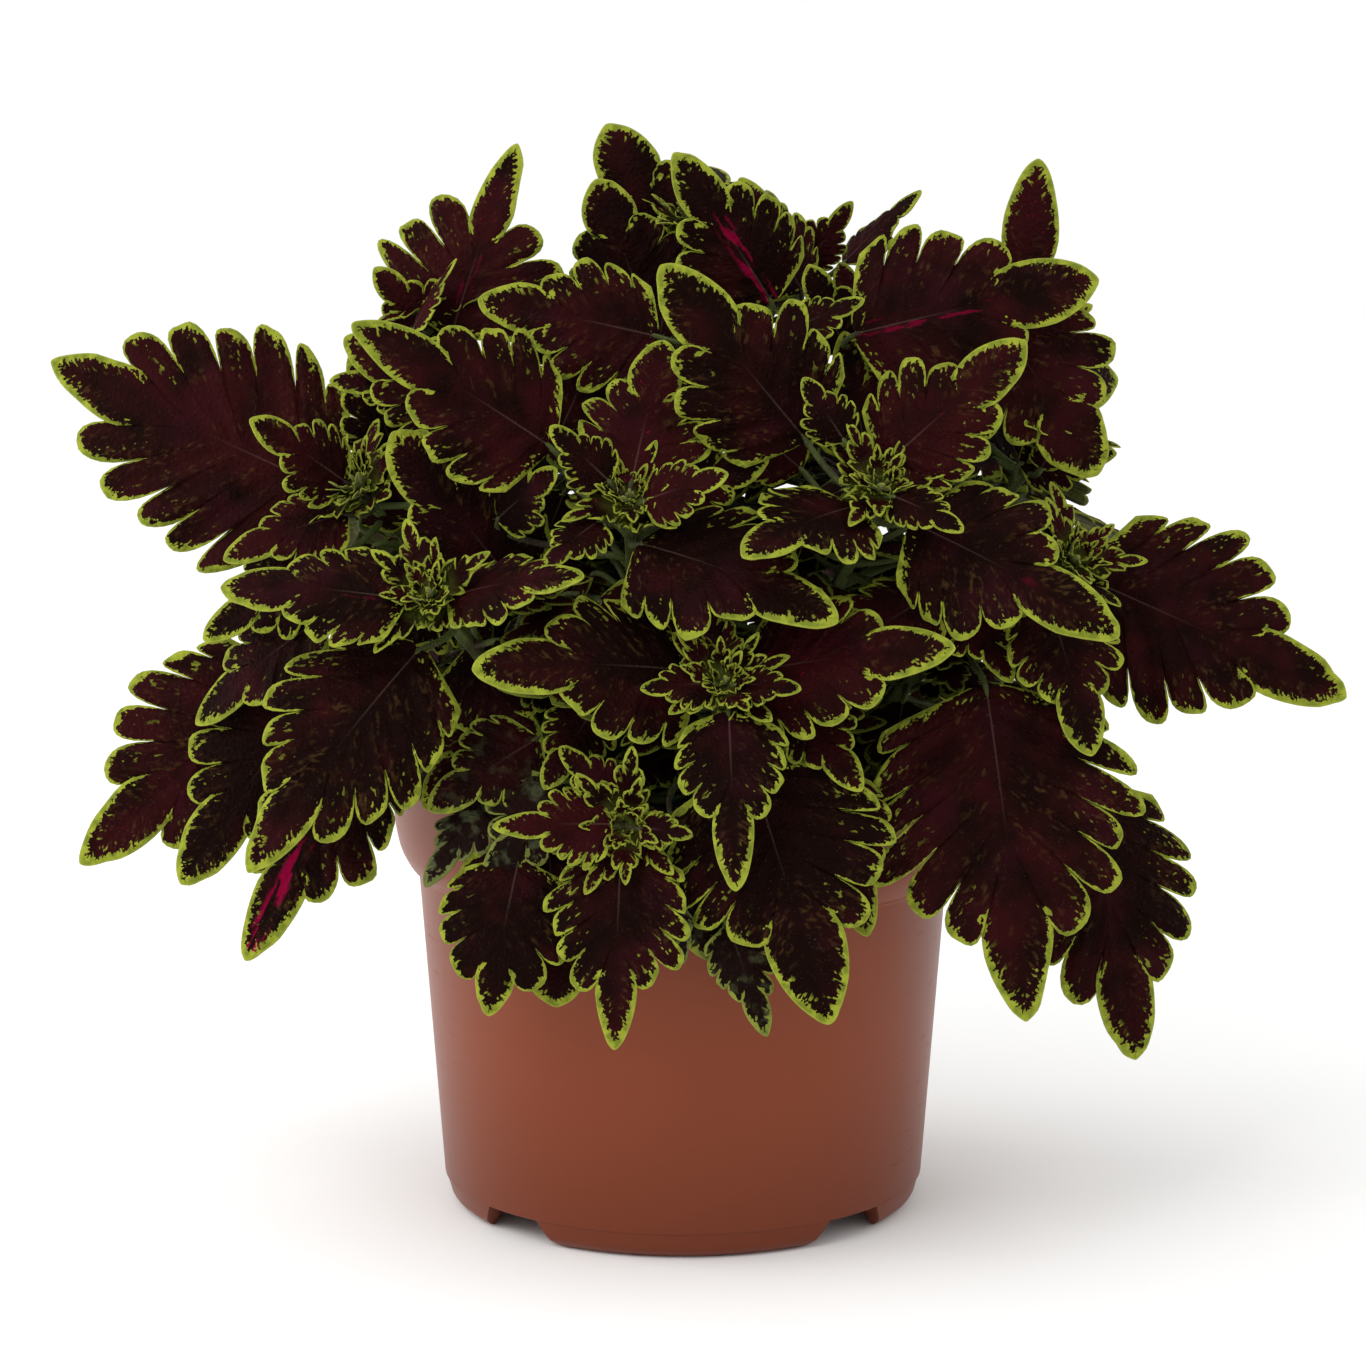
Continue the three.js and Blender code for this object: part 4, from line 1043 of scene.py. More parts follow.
def add_bump(tree, shader, height, strength, distance, invert=False):
    """Lets the shader's surface rise with the height, by the distance in metres."""
    inputs = {"Height": height, "Strength": strength, "Distance": distance}
    bump = node(tree, "Bump", inputs, invert=invert)
    tree.links.new(bump.outputs[0], shader.inputs["Normal"])


def effect(name, inputs, outputs):
    """A node group with those inputs (name and default) and outputs, and its two end nodes."""
    group = bpy.data.node_groups.new(name, "ShaderNodeTree")
    for title, kind, default in inputs:
        socket = group.interface.new_socket(title, in_out="INPUT", socket_type="NodeSocket" + kind)
        if default is not None:
            socket.default_value = default
    for title, kind in outputs:
        group.interface.new_socket(title, in_out="OUTPUT", socket_type="NodeSocket" + kind)
    return group, group.nodes.new("NodeGroupInput"), group.nodes.new("NodeGroupOutput")


def use(tree, group, inputs):
    """The node group placed in a tree with its own values."""
    return node(tree, "Group", inputs, node_tree=group)


def speckle_effect():
    """Fine specks over a slow unevenness, around a mean of one half."""
    group, start, end = effect(
        "Soft Speckle",
        [("Place", "Vector", None), ("Speck Scale", "Float", 900.0), ("Patch Scale", "Float", 40.0)],
        [("Specks", "Float"), ("Patches", "Float")],
    )
    for title, scale, detail in (("Specks", "Speck Scale", 2.0), ("Patches", "Patch Scale", 3.0)):
        grains = noise(group, start.outputs["Place"], start.outputs[scale], detail)
        group.links.new(grains, end.inputs[title])


def leaf_net_effect():
    """The net of small veins on a blade: pillows between the edges of cells that a noise bends,
    with a fine roughness of down. Place is in millimetres on the blade."""
    group, start, end = effect(
        "Leaf Net",
        [("Place", "Vector", None), ("Cells", "Float", 0.45)],
        [("Height", "Float"), ("Net", "Float")],
    )
    place = start.outputs["Place"]
    bend = node(group, "TexNoise", {"Vector": place, "Scale": 0.35, "Detail": 2.0}).outputs["Color"]
    bent = node(group, "VectorMath", {0: place, 1: bend}, operation="ADD").outputs[0]
    inputs = {"Vector": bent, "Scale": start.outputs["Cells"]}
    cells = node(group, "TexVoronoi", inputs, feature="DISTANCE_TO_EDGE").outputs["Distance"]
    pillows = rise_between(group, cells, 0.0, 0.42)
    down = times(group, noise(group, place, 2.6, 3.0), 0.45)
    group.links.new(calc(group, "ADD", pillows, down), end.inputs["Height"])
    group.links.new(fall_between(group, cells, 0.02, 0.12), end.inputs["Net"])


def vein_way_effect():
    """Place on the blade drawn out along the side veins, which leave the midrib at about 45
    degrees: along less the distance from the midrib, and their sum divided by the stretch. The
    two sides of the midrib are set apart, so that they don't mirror each other."""
    group, start, end = effect(
        "Along The Veins",
        [("Place", "Vector", None), ("Stretch", "Float", 4.0)],
        [("Place", "Vector"), ("Midrib", "Float")],
    )
    x, y, z = node(group, "SeparateXYZ", {0: start.outputs["Place"]}).outputs
    off = calc(group, "ABSOLUTE", y)
    across = calc(group, "SUBTRACT", x, off)
    down = calc(group, "DIVIDE", calc(group, "ADD", x, off), start.outputs["Stretch"])
    apart = calc(group, "ADD", z, times(group, calc(group, "GREATER_THAN", y, 0.0), 9.0))
    drawn = node(group, "CombineXYZ", {0: across, 1: down, 2: apart}).outputs[0]
    group.links.new(drawn, end.inputs["Place"])
    group.links.new(off, end.inputs["Midrib"])


def read_blade(tree, vein_way):
    """The values of a blade at this point, by their names."""
    place = read(tree, "leaf_place", "Vector")
    look, kind = read(tree, "leaf_look", "Vector"), read(tree, "leaf_kind", "Vector")
    tone, splash, along = node(tree, "SeparateXYZ", {0: look}).outputs
    young, withered, inner = node(tree, "SeparateXYZ", {0: kind}).outputs
    ways = use(tree, vein_way, {"Place": place, "Stretch": 2.2})
    return SimpleNamespace(
        place=place, drawn=ways.outputs["Place"], midrib=ways.outputs["Midrib"],
        lime=read(tree, "lime"), vein=read(tree, "vein"), near_tip=read(tree, "near_tip"),
        tone=tone, splash=splash, along=along, young=young, withered=withered, inner=inner,
    )


def centre_share(tree, blade):
    """Where the dark centre covers the lime: inside the margin, whose inner side two noises tear,
    less the flecks of lime that are left inside it at the lobes' tips."""
    coarse = calc(tree, "SUBTRACT", noise(tree, blade.drawn, 0.62), 0.5)
    fine = calc(tree, "SUBTRACT", noise(tree, blade.place, 1.3, 1.0), 0.5)
    torn = calc(tree, "ADD", blade.lime, times(tree, coarse, 2.4))
    torn = calc(tree, "ADD", torn, times(tree, fine, 0.8))
    near_margin = fall_between(tree, blade.lime, 1.6, 2.7)
    near_tip = rise_between(tree, blade.near_tip, 0.45, 0.7)
    flecks = times(tree, near_margin, near_tip, clouds(tree, blade.drawn, 0.6, 1.0, 0.62, 0.66), 0.8)
    return calc(tree, "SUBTRACT", rise_between(tree, torn, 0.84, 0.98), flecks, clamp=True)


def splash_share(tree, blade):
    """Where the centre is splashed: streaks that run along the midrib, in the half nearer to the
    stalk unless the leaf is fully splashed, and flecks around the midrib on leaves of high tone."""
    lengthwise = node(tree, "Mapping", {"Vector": blade.place, "Scale": (0.09, 0.4, 1.0)}).outputs[0]
    waves = calc(tree, "ADD", noise(tree, lengthwise, 1.0, 4.0), times(tree, blade.splash, 0.12))
    near_stalk = fall_between(tree, blade.along, 0.45, 0.65)
    reach = calc(tree, "MAXIMUM", near_stalk, rise_between(tree, blade.splash, 0.85, 0.95))
    near_midrib = fall_between(tree, blade.midrib, 1.5, 3.5)
    streaks = times(tree, rise_between(tree, waves, 0.6, 0.68), near_midrib, blade.splash, reach)
    flecks = clouds(tree, blade.drawn, 0.9, 1.0, 0.7, 0.74)
    flecks = times(tree, flecks, rise_between(tree, blade.tone, 0.65, 1.0))
    flecks = times(tree, flecks, fall_between(tree, blade.midrib, 3.0, 8.0))
    flecks = times(tree, flecks, clouds(tree, blade.place, 0.09, 1.0, 0.5, 0.6))
    return times(tree, calc(tree, "ADD", streaks, flecks, clamp=True), 0.9)


def centre_colour(tree, blade, settings):
    """The dark centre: burgundy in patches, with purple clouds, a mottle between the veins, pale
    specks and magenta splashes. Near the stalk the midrib is pale, and a young leaf is greener. A
    withered leaf is brown and grey."""
    slow = calc(tree, "ADD", noise(tree, blade.place, 0.06, 3.0), times(tree, blade.tone, 0.3))
    colour = mixed(tree, rise_between(tree, slow, 0.5, 0.9), settings.dark, settings.burgundy)
    purple = clouds(tree, blade.place, 0.045, 2.0, 0.52, 0.68)
    colour = mixed(tree, times(tree, purple, 0.33), colour, settings.purple)
    cells = clouds(tree, blade.drawn, 0.5, 3.0, 0.5, 0.7)
    between = rise_between(tree, blade.vein, 0.6, 2.5)
    mottle = times(tree, cells, between, clouds(tree, blade.place, 0.05, 1.0, 0.4, 0.65), 0.7)
    colour = mixed(tree, mottle, colour, settings.mottle)
    specks = clouds(tree, blade.place, 1.7, 1.0, 0.72, 0.76)
    colour = mixed(tree, times(tree, specks, 0.35), colour, settings.vein)
    colour = mixed(tree, splash_share(tree, blade), colour, settings.splash)
    near_stalk = fall_between(tree, blade.along, 0.1, 0.5)
    ribs = times(tree, fall_between(tree, blade.midrib, 0.15, 0.4), near_stalk, 0.3)
    colour = mixed(tree, ribs, colour, settings.vein)
    colour = mixed(tree, times(tree, blade.young, near_stalk, 0.5), colour, settings.bud)
    grey = clouds(tree, blade.place, 0.2, 3.0, 0.5, 0.7)
    dry = mixed(tree, grey, settings.withered, settings.withered_grey)
    return mixed(tree, times(tree, blade.withered, 0.9), colour, dry)


def margin_colour(tree, blade, settings):
    """The lime margin: pale at the very edge, darkened inside the plant as painted shade, grey on a withered
    leaf.
    """
    shade = clouds(tree, blade.place, 0.25, 2.0, 0.35, 0.65)
    colour = mixed(tree, shade, settings.lime_shade, settings.lime)
    rim = times(tree, fall_between(tree, blade.lime, 0.05, 0.3), 0.5)
    colour = mixed(tree, rim, colour, settings.rim)
    # Painted shade: on leaves inside the plant the margin is mixed towards a dull dark green.
    colour = mixed(tree, times(tree, blade.inner, 0.65), colour, settings.painted_shade_lime)
    return mixed(tree, times(tree, blade.withered, 0.8), colour, settings.withered_grey)


def upper_material(settings, net, vein_way):
    """The upper face: a lime margin around a dark centre, with the net of small veins as relief."""
    material, tree, shader = new_material("coleus_leaf_upper", settings.dark, 0.6, specular=0.025)
    blade = read_blade(tree, vein_way)
    margin, centre = margin_colour(tree, blade, settings), centre_colour(tree, blade, settings)
    colour = mixed(tree, centre_share(tree, blade), margin, centre)
    tree.links.new(colour, shader.inputs["Base Color"])
    relief = use(tree, net, {"Place": blade.place})
    add_bump(tree, shader, relief.outputs["Height"], 0.6, 0.0004)
    return material


def under_material(settings, net, vein_way):
    """The underside: greyish green with a purple flush between the veins, which stand out paler, a
    fine net of small ones, and a margin of its own green."""
    material, tree, shader = new_material("coleus_leaf_under", settings.under, 0.7, specular=0.15)
    place, lime, vein = read(tree, "leaf_place", "Vector"), read(tree, "lime"), read(tree, "vein")
    midrib = use(tree, vein_way, {"Place": place}).outputs["Midrib"]
    relief = use(tree, net, {"Place": place})
    patches = clouds(tree, place, 0.06, 3.0, 0.32, 0.6)
    between = rise_between(tree, vein, 0.3, 2.2)
    flush = times(tree, patches, between, rise_between(tree, lime, 1.0, 2.4), 0.8)
    colour = mixed(tree, flush, settings.under, settings.under_flush)
    colour = mixed(tree, fall_between(tree, lime, 0.6, 1.1), colour, settings.under_margin)
    veins = calc(tree, "MAXIMUM", fall_between(tree, midrib, 0.3, 0.9), fall_between(tree, vein, 0.1, 0.6))
    veins = calc(tree, "ADD", veins, times(tree, relief.outputs["Net"], 0.35), clamp=True)
    colour = mixed(tree, times(tree, veins, 0.6), colour, settings.under_vein)
    tree.links.new(colour, shader.inputs["Base Color"])
    add_bump(tree, shader, relief.outputs["Height"], 0.4, 0.0005, invert=True)
    return material


def speckled(tree, speckle, speck_scale, patch_scale):
    """The object's own place, and the specks and patches there."""
    place = node(tree, "TexCoord").outputs["Object"]
    inputs = {"Place": place, "Speck Scale": speck_scale, "Patch Scale": patch_scale}
    grains = use(tree, speckle, inputs)
    return place, grains.outputs["Specks"], grains.outputs["Patches"]


def stem_material(settings, speckle):
    """Stems and stalks: olive green, flushed dark, with a pale down."""
    material, tree, shader = new_material("coleus_stem", settings.stem, 0.6, specular=0.2)
    _, specks, patches = speckled(tree, speckle, 1400.0, 70.0)
    colour = mixed(tree, rise_between(tree, patches, 0.45, 0.7), settings.stem, settings.stem_flush)
    down = times(tree, rise_between(tree, specks, 0.55, 0.75), 0.3)
    colour = mixed(tree, down, colour, settings.down)
    tree.links.new(colour, shader.inputs["Base Color"])
    add_bump(tree, shader, specks, 0.3, 0.0003)
    return material


def hair_material(settings, speckle):
    """Hairs: pale, a little uneven from one to the next."""
    material, tree, shader = new_material("coleus_hair", settings.down, 0.7)
    _, _, patches = speckled(tree, speckle, 900.0, 60.0)
    tree.links.new(mixed(tree, patches, settings.stem, settings.down), shader.inputs["Base Color"])
    return material


def pot_material(settings, speckle):
    """Moulded plastic: an even satin colour with faint clouds, darkened towards the foot as painted shade,
    and fine scuffs in its gloss."""
    material, tree, shader = new_material("pot_plastic", settings.colour, settings.roughness, specular=0.26)
    place, specks, patches = speckled(tree, speckle, 700.0, 14.0)
    height = node(tree, "SeparateXYZ", {0: place}).outputs["Z"]
    colour = mixed(tree, times(tree, patches, 0.5), settings.colour, settings.cloud)
    # Painted shade: within 7 cm of the ground the colour is mixed towards a darker brown.
    foot_shade_share = fall_between(tree, height, 0.0, 0.07)
    colour = mixed(tree, times(tree, foot_shade_share, 0.6), colour, settings.painted_foot_shade)
    tree.links.new(colour, shader.inputs["Base Color"])
    around_pot = node(tree, "Mapping", {"Vector": place, "Scale": (60.0, 60.0, 600.0)}).outputs[0]
    scuffs = clouds(tree, around_pot, 1.0, 3.0, 0.6, 0.8)
    gloss = calc(tree, "ADD", settings.roughness, times(tree, scuffs, 0.12))
    gloss = calc(tree, "ADD", gloss, times(tree, patches, 0.06))
    tree.links.new(gloss, shader.inputs["Roughness"])
    add_bump(tree, shader, specks, 0.06, 0.0002)
    return material


def peat_material(settings, speckle):
    """Damp peat: near black, with brown fibres and paler dry crumbs."""
    material, tree, shader = new_material("peat", settings.colour, 0.95)
    _, specks, patches = speckled(tree, speckle, 600.0, 90.0)
    colour = mixed(tree, rise_between(tree, patches, 0.35, 0.7), settings.colour, settings.fibre)
    dry = times(tree, rise_between(tree, specks, 0.6, 0.75), 0.5)
    colour = mixed(tree, dry, colour, settings.dry)
    tree.links.new(colour, shader.inputs["Base Color"])
    add_bump(tree, shader, specks, 0.8, 0.0008)
    return material


# ------------------------------------------------------------------ settings


def colour_setting(name, words, *display):
    """A colour whose default is given as it shows on a display."""
    default = display_colour(*display)
    return bpy.props.FloatVectorProperty(
        name=name, description=words, subtype="COLOR", size=3, min=0, max=1, default=default
    )


def size_setting(name, words, default):
    """A size of 0 or more; its words say in what unit."""
    return bpy.props.FloatProperty(name=name, description=words, default=default, min=0)


def count_setting(name, words, default, least, most):
    """A whole number between the least and the most."""
    return bpy.props.IntProperty(name=name, description=words, default=default, min=least, max=most)


class COLEUS_PG_leaf(bpy.types.PropertyGroup):
    """Sizes and colours of the leaves and stems."""

    margin_width: size_setting("Margin Width", "Width of the margin at a lobe's tip, in millimetres", 2.4)
    sinus_depth: size_setting("Sinus Depth", "How far the slits between lobes reach in, of a vein", 0.42)
    puffing: size_setting("Puffing", "How far a large blade puffs up, in millimetres", 0.9)
    waviness: size_setting("Waviness", "How far the edge waves up and down, in leaf lengths", 0.012)
    lime: colour_setting("Lime", "Colour of the margin", 142, 151, 48)
    lime_shade: colour_setting("Lime Shade", "Deeper colour in the margin", 107, 117, 37)
    # Painted shade: the dull dark margin colour of the leaves inside the plant.
    painted_shade_lime: colour_setting("Inner Lime", "Colour of the margin inside the plant", 52, 62, 20)
    rim: colour_setting("Rim", "Pale colour at the very edge", 156, 162, 66)
    dark: colour_setting("Dark", "Darkest colour of the centre", 18, 5, 3)
    burgundy: colour_setting("Burgundy", "Redder colour of the centre", 43, 9, 11)
    purple: colour_setting("Purple", "Purple clouds on the centre", 45, 11, 20)
    mottle: colour_setting("Mottle", "Colour between the veins", 66, 45, 23)
    splash: colour_setting("Splash", "Colour of the magenta splashes", 128, 0, 48)
    vein: colour_setting("Vein", "Colour of the veins near the stalk", 96, 76, 66)
    bud: colour_setting("Bud", "Colour of the young leaves near their stalks", 96, 110, 40)
    withered: colour_setting("Withered", "Brown of the withered leaves", 26, 17, 14)
    withered_grey: colour_setting("Withered Grey", "Grey of the withered leaves", 84, 90, 62)
    under: colour_setting("Underside", "Colour of the underside", 98, 102, 54)
    under_flush: colour_setting("Underside Flush", "Purple flush of the underside", 78, 36, 46)
    under_margin: colour_setting("Underside Margin", "Colour of the margin below", 118, 128, 56)
    under_vein: colour_setting("Underside Vein", "Colour of the veins below", 150, 152, 100)
    stem: colour_setting("Stem", "Colour of stems and stalks", 70, 80, 34)
    stem_flush: colour_setting("Stem Flush", "Dark flush of the stems", 48, 34, 26)
    down: colour_setting("Down", "Colour of the pale down", 142, 150, 112)


class COLEUS_PG_pot(bpy.types.PropertyGroup):
    """Size and colours of the pot."""

    sides: count_setting("Sides", "Steps around the pot", 160, 36, 360)
    roughness: bpy.props.FloatProperty(
        name="Roughness", description="How dull the plastic is", default=0.36, min=0, max=1
    )
    colour: colour_setting("Plastic", "Colour of the plastic", 123, 54, 22)
    cloud: colour_setting("Cloud", "Colour of the faint clouds in the plastic", 114, 48, 18)
    # Painted shade: the darker brown that the plastic turns towards near the foot.
    painted_foot_shade: colour_setting("Foot Shade", "Colour towards the foot", 88, 34, 11)


class COLEUS_PG_soil(bpy.types.PropertyGroup):
    """Crumbs and colours of the soil."""

    crumbs: count_setting("Crumbs", "Crumbs that lie on the soil", 900, 0, 3000)
    crumb_size: size_setting("Crumb Size", "Radius of the largest crumbs, in millimetres", 2.4)
    colour: colour_setting("Peat", "Colour of the damp peat", 44, 33, 26)
    fibre: colour_setting("Fibre", "Colour of the brown fibres", 82, 60, 42)
    dry: colour_setting("Dry Crumbs", "Colour of the dry crumbs", 128, 104, 78)


class COLEUS_PG_stage(bpy.types.PropertyGroup):
    """The floor, the lights and the camera."""

    distance: bpy.props.FloatProperty(
        name="Distance", description="How far the camera is off", default=1.64, min=0.5, unit="LENGTH"
    )
    pitch: bpy.props.FloatProperty(
        name="Pitch", description="How far the camera looks down", default=math.radians(11), subtype="ANGLE"
    )
    lens: bpy.props.FloatProperty(
        name="Lens", description="Focal length on a 36 mm wide sensor", default=131.93, min=20
    )
    floor: colour_setting("Floor", "Colour of the floor", 254, 254, 253)


# ------------------------------------------------------------------ the operators

# Heights in metres on the pot's axis that the camera looks at, and that the lights face.
SEEN_HEIGHT, LIT_HEIGHT = 0.1725, 0.2


def dress(piece, node_name):
    """The piece rides on the root body and stands for its solid, which is hidden."""
    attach(piece, "root")
    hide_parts(node_name)


class COLEUS_OT_pot(bpy.types.Operator):
    """Nursery pot: its rounded section turned about Z, with the gaps in the foot ring and the
    drain holes cut out of it"""

    bl_idname = "coleus.pot"
    bl_label = "Nursery Pot"

    def execute(self, context):
        settings = context.scene.coleus_pot
        points, triangles = turned(rounded_section(POT_SECTION), settings.sides)
        mesh = plain_mesh("nursery_pot", points, triangles)
        speckle = bpy.data.node_groups["Soft Speckle"]
        piece = new_piece("nursery_pot", mesh, [pot_material(settings, speckle)])
        for cutter in self.cutters():
            cut = piece.modifiers.new("Cut", "BOOLEAN")
            cut.operation, cut.solver, cut.object = "DIFFERENCE", "EXACT", cutter
            self.keep_result(context, piece)
            bpy.data.meshes.remove(cutter.data)
        piece.data.set_sharp_from_angle(angle=math.radians(32))
        dress(piece, "pot")
        return {"FINISHED"}

    def keep_result(self, context, piece):
        """Puts the shape that the modifiers give into the piece's mesh."""
        depsgraph = context.evaluated_depsgraph_get()
        result = bpy.data.meshes.new_from_object(piece.evaluated_get(depsgraph))
        before, piece.data = piece.data, result
        piece.modifiers.clear()
        bpy.data.meshes.remove(before)

    def cutters(self):
        """A wedge for each gap in the foot ring, wider at the ground, and a cylinder for each
        drain hole."""
        ring, hole = FOOT_RING, DRAIN_HOLE
        corners = np.array([
            [x, side * half, z]
            for z, half in ((-1, ring["half_bottom"]), (ring["height"], ring["half_top"]))
            for side in (-1, 1) for x in (ring["inner"], ring["outer"])
        ])
        faces = np.array([
            [0, 2, 3, 1], [4, 5, 7, 6], [0, 1, 5, 4], [2, 6, 7, 3], [0, 4, 6, 2], [1, 3, 7, 5]
        ])
        triangles = np.concatenate([faces[:, :3], faces[:, [0, 2, 3]]])
        made = []
        for i in range(ring["gaps"]):
            angle = 2 * math.pi / ring["gaps"] * (i + 0.5)
            cosine, sine = math.cos(angle), math.sin(angle)
            turn = np.array([[cosine, sine, 0], [-sine, cosine, 0], [0, 0, 1]])
            made.append(new_piece("foot_gap", plain_mesh("foot_gap", corners @ turn, triangles), []))
        section = np.array([[0, 6], [hole["radius"], 6], [hole["radius"], 14], [0, 14]], float)
        for i in range(hole["count"]):
            points, triangles = turned(section, 24)
            angle = 2 * math.pi * i / hole["count"]
            points = points + [hole["ring"] * math.cos(angle), hole["ring"] * math.sin(angle), 0]
            made.append(new_piece("drain_hole", plain_mesh("drain_hole", points, triangles), []))
        return made


class COLEUS_OT_soil(bpy.types.Operator):
    """Soil: a section that fills the pot turned about Z, its top raised and lowered by ripples,
    with crumbs lying on it"""

    bl_idname = "coleus.soil"
    bl_label = "Soil"

    def execute(self, context):
        settings = context.scene.coleus_soil
        section = rounded_section(SOIL_SECTION)
        top = np.linspace(SOIL_RADIUS, 0, SOIL_RINGS)
        section = np.concatenate([section, np.stack([top, np.full(SOIL_RINGS, SOIL_TOP)], 1)])
        points, triangles = turned(section, SOIL_SIDES)
        on_top, flat = points[:, 2] > SOIL_TOP - 0.1, points[:, :2]
        inside = np.clip((SOIL_RADIUS - np.hypot(*flat.T)) / 4, 0, 1)
        relief = 1.1 * ripple(flat, [31, 19, 12], 3) + 0.6 * ripple(flat, [6, 4.5, 3.2, 2.6], 4)
        points[:, 2] += np.where(on_top, relief * (0.4 + 0.6 * inside), 0)
        crumbs, crumb_triangles = self.crumbs(settings)
        mesh = plain_mesh(
            "soil_surface",
            np.concatenate([points, crumbs]),
            np.concatenate([triangles, crumb_triangles + len(points)]),
            crease=60,
        )
        speckle = bpy.data.node_groups["Soft Speckle"]
        piece = new_piece("soil_surface", mesh, [peat_material(settings, speckle)])
        dress(piece, "soil")
        return {"FINISHED"}

    def crumbs(self, settings):
        """Octahedra stretched along each axis and turned by seeded draws, half sunk in the soil and
        spread evenly over it."""
        rng = np.random.default_rng(8)
        count = settings.crumbs
        corners = np.array([[1, 0, 0], [-1, 0, 0], [0, 1, 0], [0, -1, 0], [0, 0, 1], [0, 0, -1]], float)
        faces = np.array([
            [0, 2, 4], [2, 1, 4], [1, 3, 4], [3, 0, 4], [2, 0, 5], [1, 2, 5], [3, 1, 5], [0, 3, 5]
        ])
        size = settings.crumb_size * rng.uniform(0.3, 1, (count, 1, 1)) ** 1.5
        shape = corners * size * rng.uniform(0.5, 1.2, (count, 1, 3)) * rng.uniform(0.75, 1.25, (count, 6, 1))
        turn = np.linalg.qr(rng.normal(size=(count, 3, 3)))[0]
        turn[:, :, 0] *= np.sign(np.linalg.det(turn))[:, None]
        radius = CRUMB_REACH * np.sqrt(rng.uniform(0, 1, count))
        angle = rng.uniform(0, 2 * np.pi, count)
        height = SOIL_TOP + rng.uniform(-0.6, 0.8, count)
        centre = np.stack([radius * np.cos(angle), radius * np.sin(angle), height], 1)
        points = np.einsum("nij,nkj->nki", turn, shape) + centre[:, None]
        numbers = faces[None] + 6 * np.arange(count)[:, None, None]
        return points.reshape(-1, 3), numbers.reshape(-1, 3)


class COLEUS_OT_leafy_stems(bpy.types.Operator):
    """Leafy stems: each one its square stem, its stalks, the blades of its grown and young leaves
    where their solids grew, and the bud of its youngest leaves"""

    bl_idname = "coleus.leafy_stems"
    bl_label = "Leafy Stems"

    def execute(self, context):
        settings = context.scene.coleus_leaf
        groups = bpy.data.node_groups
        materials = [
            upper_material(settings, groups["Leaf Net"], groups["Along The Veins"]),
            under_material(settings, groups["Leaf Net"], groups["Along The Veins"]),
            stem_material(settings, groups["Soft Speckle"]),
            hair_material(settings, groups["Soft Speckle"]),
        ]
        shoots = self.grown_shoots()
        taken = np.concatenate([spread(leaf) for _, leaves in shoots for leaf in leaves])
        inner = inner_leaves([controls for controls, _ in shoots], taken, np.random.default_rng(5))
        for number, (controls, leaves) in enumerate(shoots):
            name, root, apex, aim = SHOOTS[number][:4]
            skin = Skin()
            add_stem(skin, root, controls)
            for i, leaf in enumerate(leaves + inner[number] + shoot_bud(apex, aim, number)):
                leaf.number = 100 * number + i
                add_blade(skin, leaf, settings)
                if leaf.joint is not None:
                    add_stalk(skin, leaf)
            piece = new_piece("coleus_" + name, skin.mesh("coleus_" + name), materials)
            dress(piece, "leafy_stem_" + name)
        return {"FINISHED"}

    def grown_shoots(self):
        """The stem's controls and the leaves of each shoot, each leaf where its solid grew."""
        draw, shoots = Draw(11), []
        for name, root, apex, aim, rows, behind in SHOOTS:
            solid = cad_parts["leafy_stem_" + name].data
            corners = np.zeros(len(solid.vertices) * 3, np.float32)
            solid.vertices.foreach_get("co", corners)
            corners = np.unique(np.round(corners.reshape(-1, 3) / MM, 3), axis=0)
            controls = stem_controls(root, apex, aim)
            pairs = YOUNG_PAIRS if len(rows) > 4 else YOUNG_PAIRS[:1]
            planned = front_leaves(controls, rows)
            for i, leaf in enumerate(planned):
                leaf.take(LEAF_TRAITS.get((name, i), {}))
            planned += young_leaves(apex, aim, pairs)
            planned += leaves_behind(controls, apex, behind, draw)
            leaves = [leaf for leaf in planned if grown(leaf, corners)]
            for leaf in leaves:
                leaf.base = np.array(leaf.base if leaf.fine_base is None else leaf.fine_base, float)
                leaf.tip = np.array(leaf.tip if leaf.fine_tip is None else leaf.fine_tip, float)
                leaf.width = leaf.fine_width or leaf.width
                leaf.place(0, 1)
            leaves += extra_leaves(controls, EXTRA_LEAVES.get(name, []))
            if len(leaves) < LEAST_GROWN * len(planned):
                raise RuntimeError(f"only {len(leaves)} of {len(planned)} leaves meet {name}")
            shoots.append((controls, leaves))
        return shoots


class COLEUS_OT_effects(bpy.types.Operator):
    """Effects: the node groups that more than one finish uses"""

    bl_idname = "coleus.effects"
    bl_label = "Shared Effects"

    def execute(self, context):
        speckle_effect()
        leaf_net_effect()
        vein_way_effect()
        return {"FINISHED"}


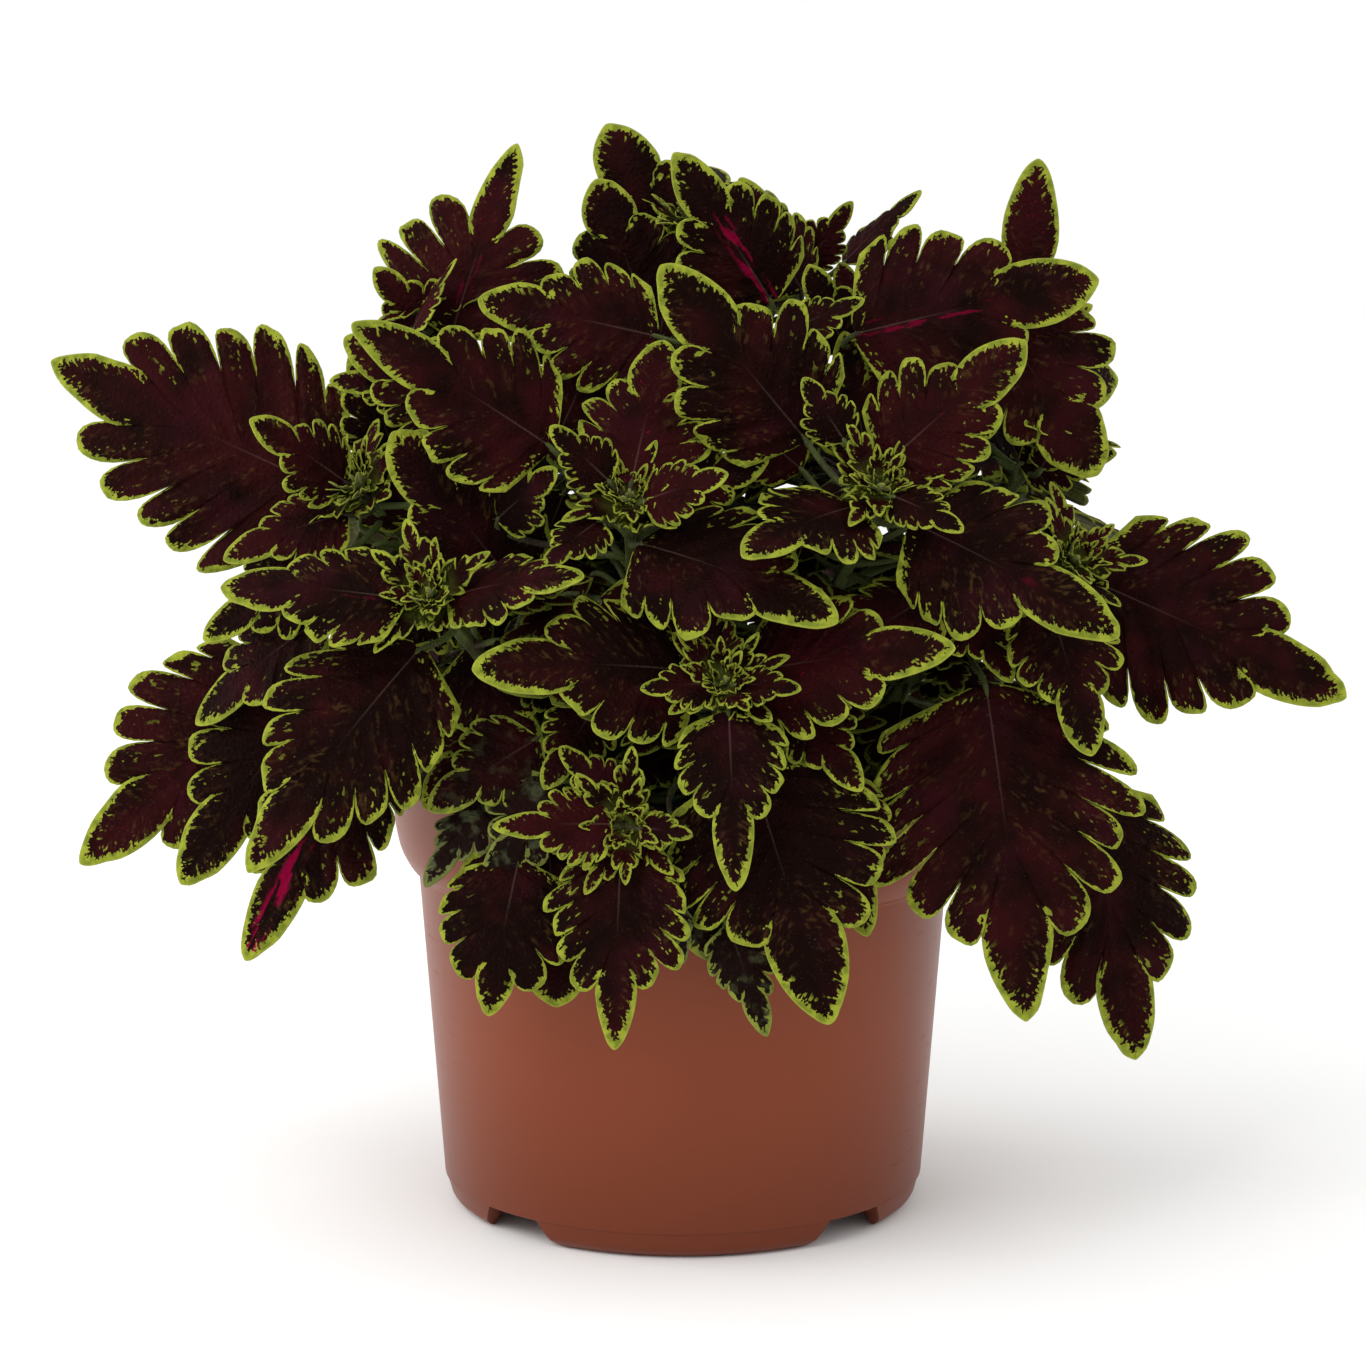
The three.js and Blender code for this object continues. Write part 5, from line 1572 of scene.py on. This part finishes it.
class COLEUS_OT_stage(bpy.types.Operator):
    """Stage: a pale floor, soft lights and the camera"""

    bl_idname = "coleus.stage"
    bl_label = "Stage"

    def execute(self, context):
        settings = context.scene.coleus_stage
        section = np.array([[0, -0.2], [2500, -0.2]], float)
        points, triangles = turned(section, 64)
        material, _, shader = new_material("pale_floor", settings.floor, 0.8)
        shader.inputs["Base Color"].default_value = (*settings.floor, 1)
        mesh = plain_mesh("pale_floor", points, triangles[:, ::-1])
        floor = new_piece("pale_floor", mesh, [material])
        context.scene.view_settings.view_transform = "Standard"
        world = bpy.data.worlds.new("Studio")
        context.scene.world = world
        world.use_nodes = True
        backdrop = world.node_tree.nodes["Background"]
        backdrop.inputs["Color"].default_value = (1, 1, 1, 1)
        backdrop.inputs["Strength"].default_value = 1.0
        self.light("key", (-0.8, -1.3, 1.6), 1.0, 12)
        self.light("left", (-1.4, 0.1, 0.5), 0.9, 8)
        self.light("right", (1.4, 0.0, 0.5), 0.9, 1)
        lens = bpy.data.cameras.new("camera")
        lens.sensor_width, lens.lens = 36, settings.lens
        lens.clip_start, lens.clip_end = 0.1, 20
        camera = bpy.data.objects.new("camera", lens)
        context.scene.collection.objects.link(camera)
        down, reach = settings.pitch, settings.distance
        camera.location = (0, -reach * math.cos(down), SEEN_HEIGHT + reach * math.sin(down))
        camera.rotation_euler = (math.pi / 2 - down, 0, 0)
        context.scene.camera = camera
        return {"FINISHED"}

    def light(self, name, place, size, power):
        """A square soft light that faces the plant."""
        lamp = bpy.data.lights.new(name, "AREA")
        lamp.size, lamp.energy = size, power
        made = bpy.data.objects.new(name, lamp)
        made.location = place
        way = np.array([0, 0, LIT_HEIGHT]) - place
        down = math.acos(way[2] / np.linalg.norm(way)) - math.pi
        made.rotation_euler = (down, 0, math.atan2(-way[0], way[1]) + math.pi)
        bpy.context.scene.collection.objects.link(made)


class COLEUS_PT_panel(bpy.types.Panel):
    """Coleus panel in the sidebar."""

    bl_label = "Potted Coleus"
    bl_space_type = "VIEW_3D"
    bl_region_type = "UI"
    bl_category = "Coleus"

    def draw(self, context):
        for title, name, operators in PANEL_PARTS:
            settings = getattr(context.scene, name)
            box = self.layout.box()
            box.label(text=title)
            for setting in settings.__annotations__:
                box.prop(settings, setting)
            for operator in operators:
                box.operator(operator)


PANEL_PARTS = [
    ("Pot", "coleus_pot", ["coleus.pot"]),
    ("Soil", "coleus_soil", ["coleus.soil"]),
    ("Leaves and Stems", "coleus_leaf", ["coleus.effects", "coleus.leafy_stems"]),
    ("Stage", "coleus_stage", ["coleus.stage"]),
]
SETTINGS = {
    "coleus_pot": COLEUS_PG_pot,
    "coleus_soil": COLEUS_PG_soil,
    "coleus_leaf": COLEUS_PG_leaf,
    "coleus_stage": COLEUS_PG_stage,
}
CLASSES = [
    *SETTINGS.values(),
    COLEUS_OT_effects,
    COLEUS_OT_pot,
    COLEUS_OT_soil,
    COLEUS_OT_leafy_stems,
    COLEUS_OT_stage,
    COLEUS_PT_panel,
]


def register():
    """Makes the settings, operators and panel known to Blender."""
    for made in CLASSES:
        bpy.utils.register_class(made)
    for name, group in SETTINGS.items():
        setattr(bpy.types.Scene, name, bpy.props.PointerProperty(type=group))


def unregister():
    """Takes them back."""
    for name in SETTINGS:
        delattr(bpy.types.Scene, name)
    for made in reversed(CLASSES):
        bpy.utils.unregister_class(made)


def main():
    """Builds the potted plant and its stage."""
    register()
    bpy.ops.coleus.effects()
    bpy.ops.coleus.pot()
    bpy.ops.coleus.soil()
    bpy.ops.coleus.leafy_stems()
    bpy.ops.coleus.stage()


if __name__ == "__main__":
    main()
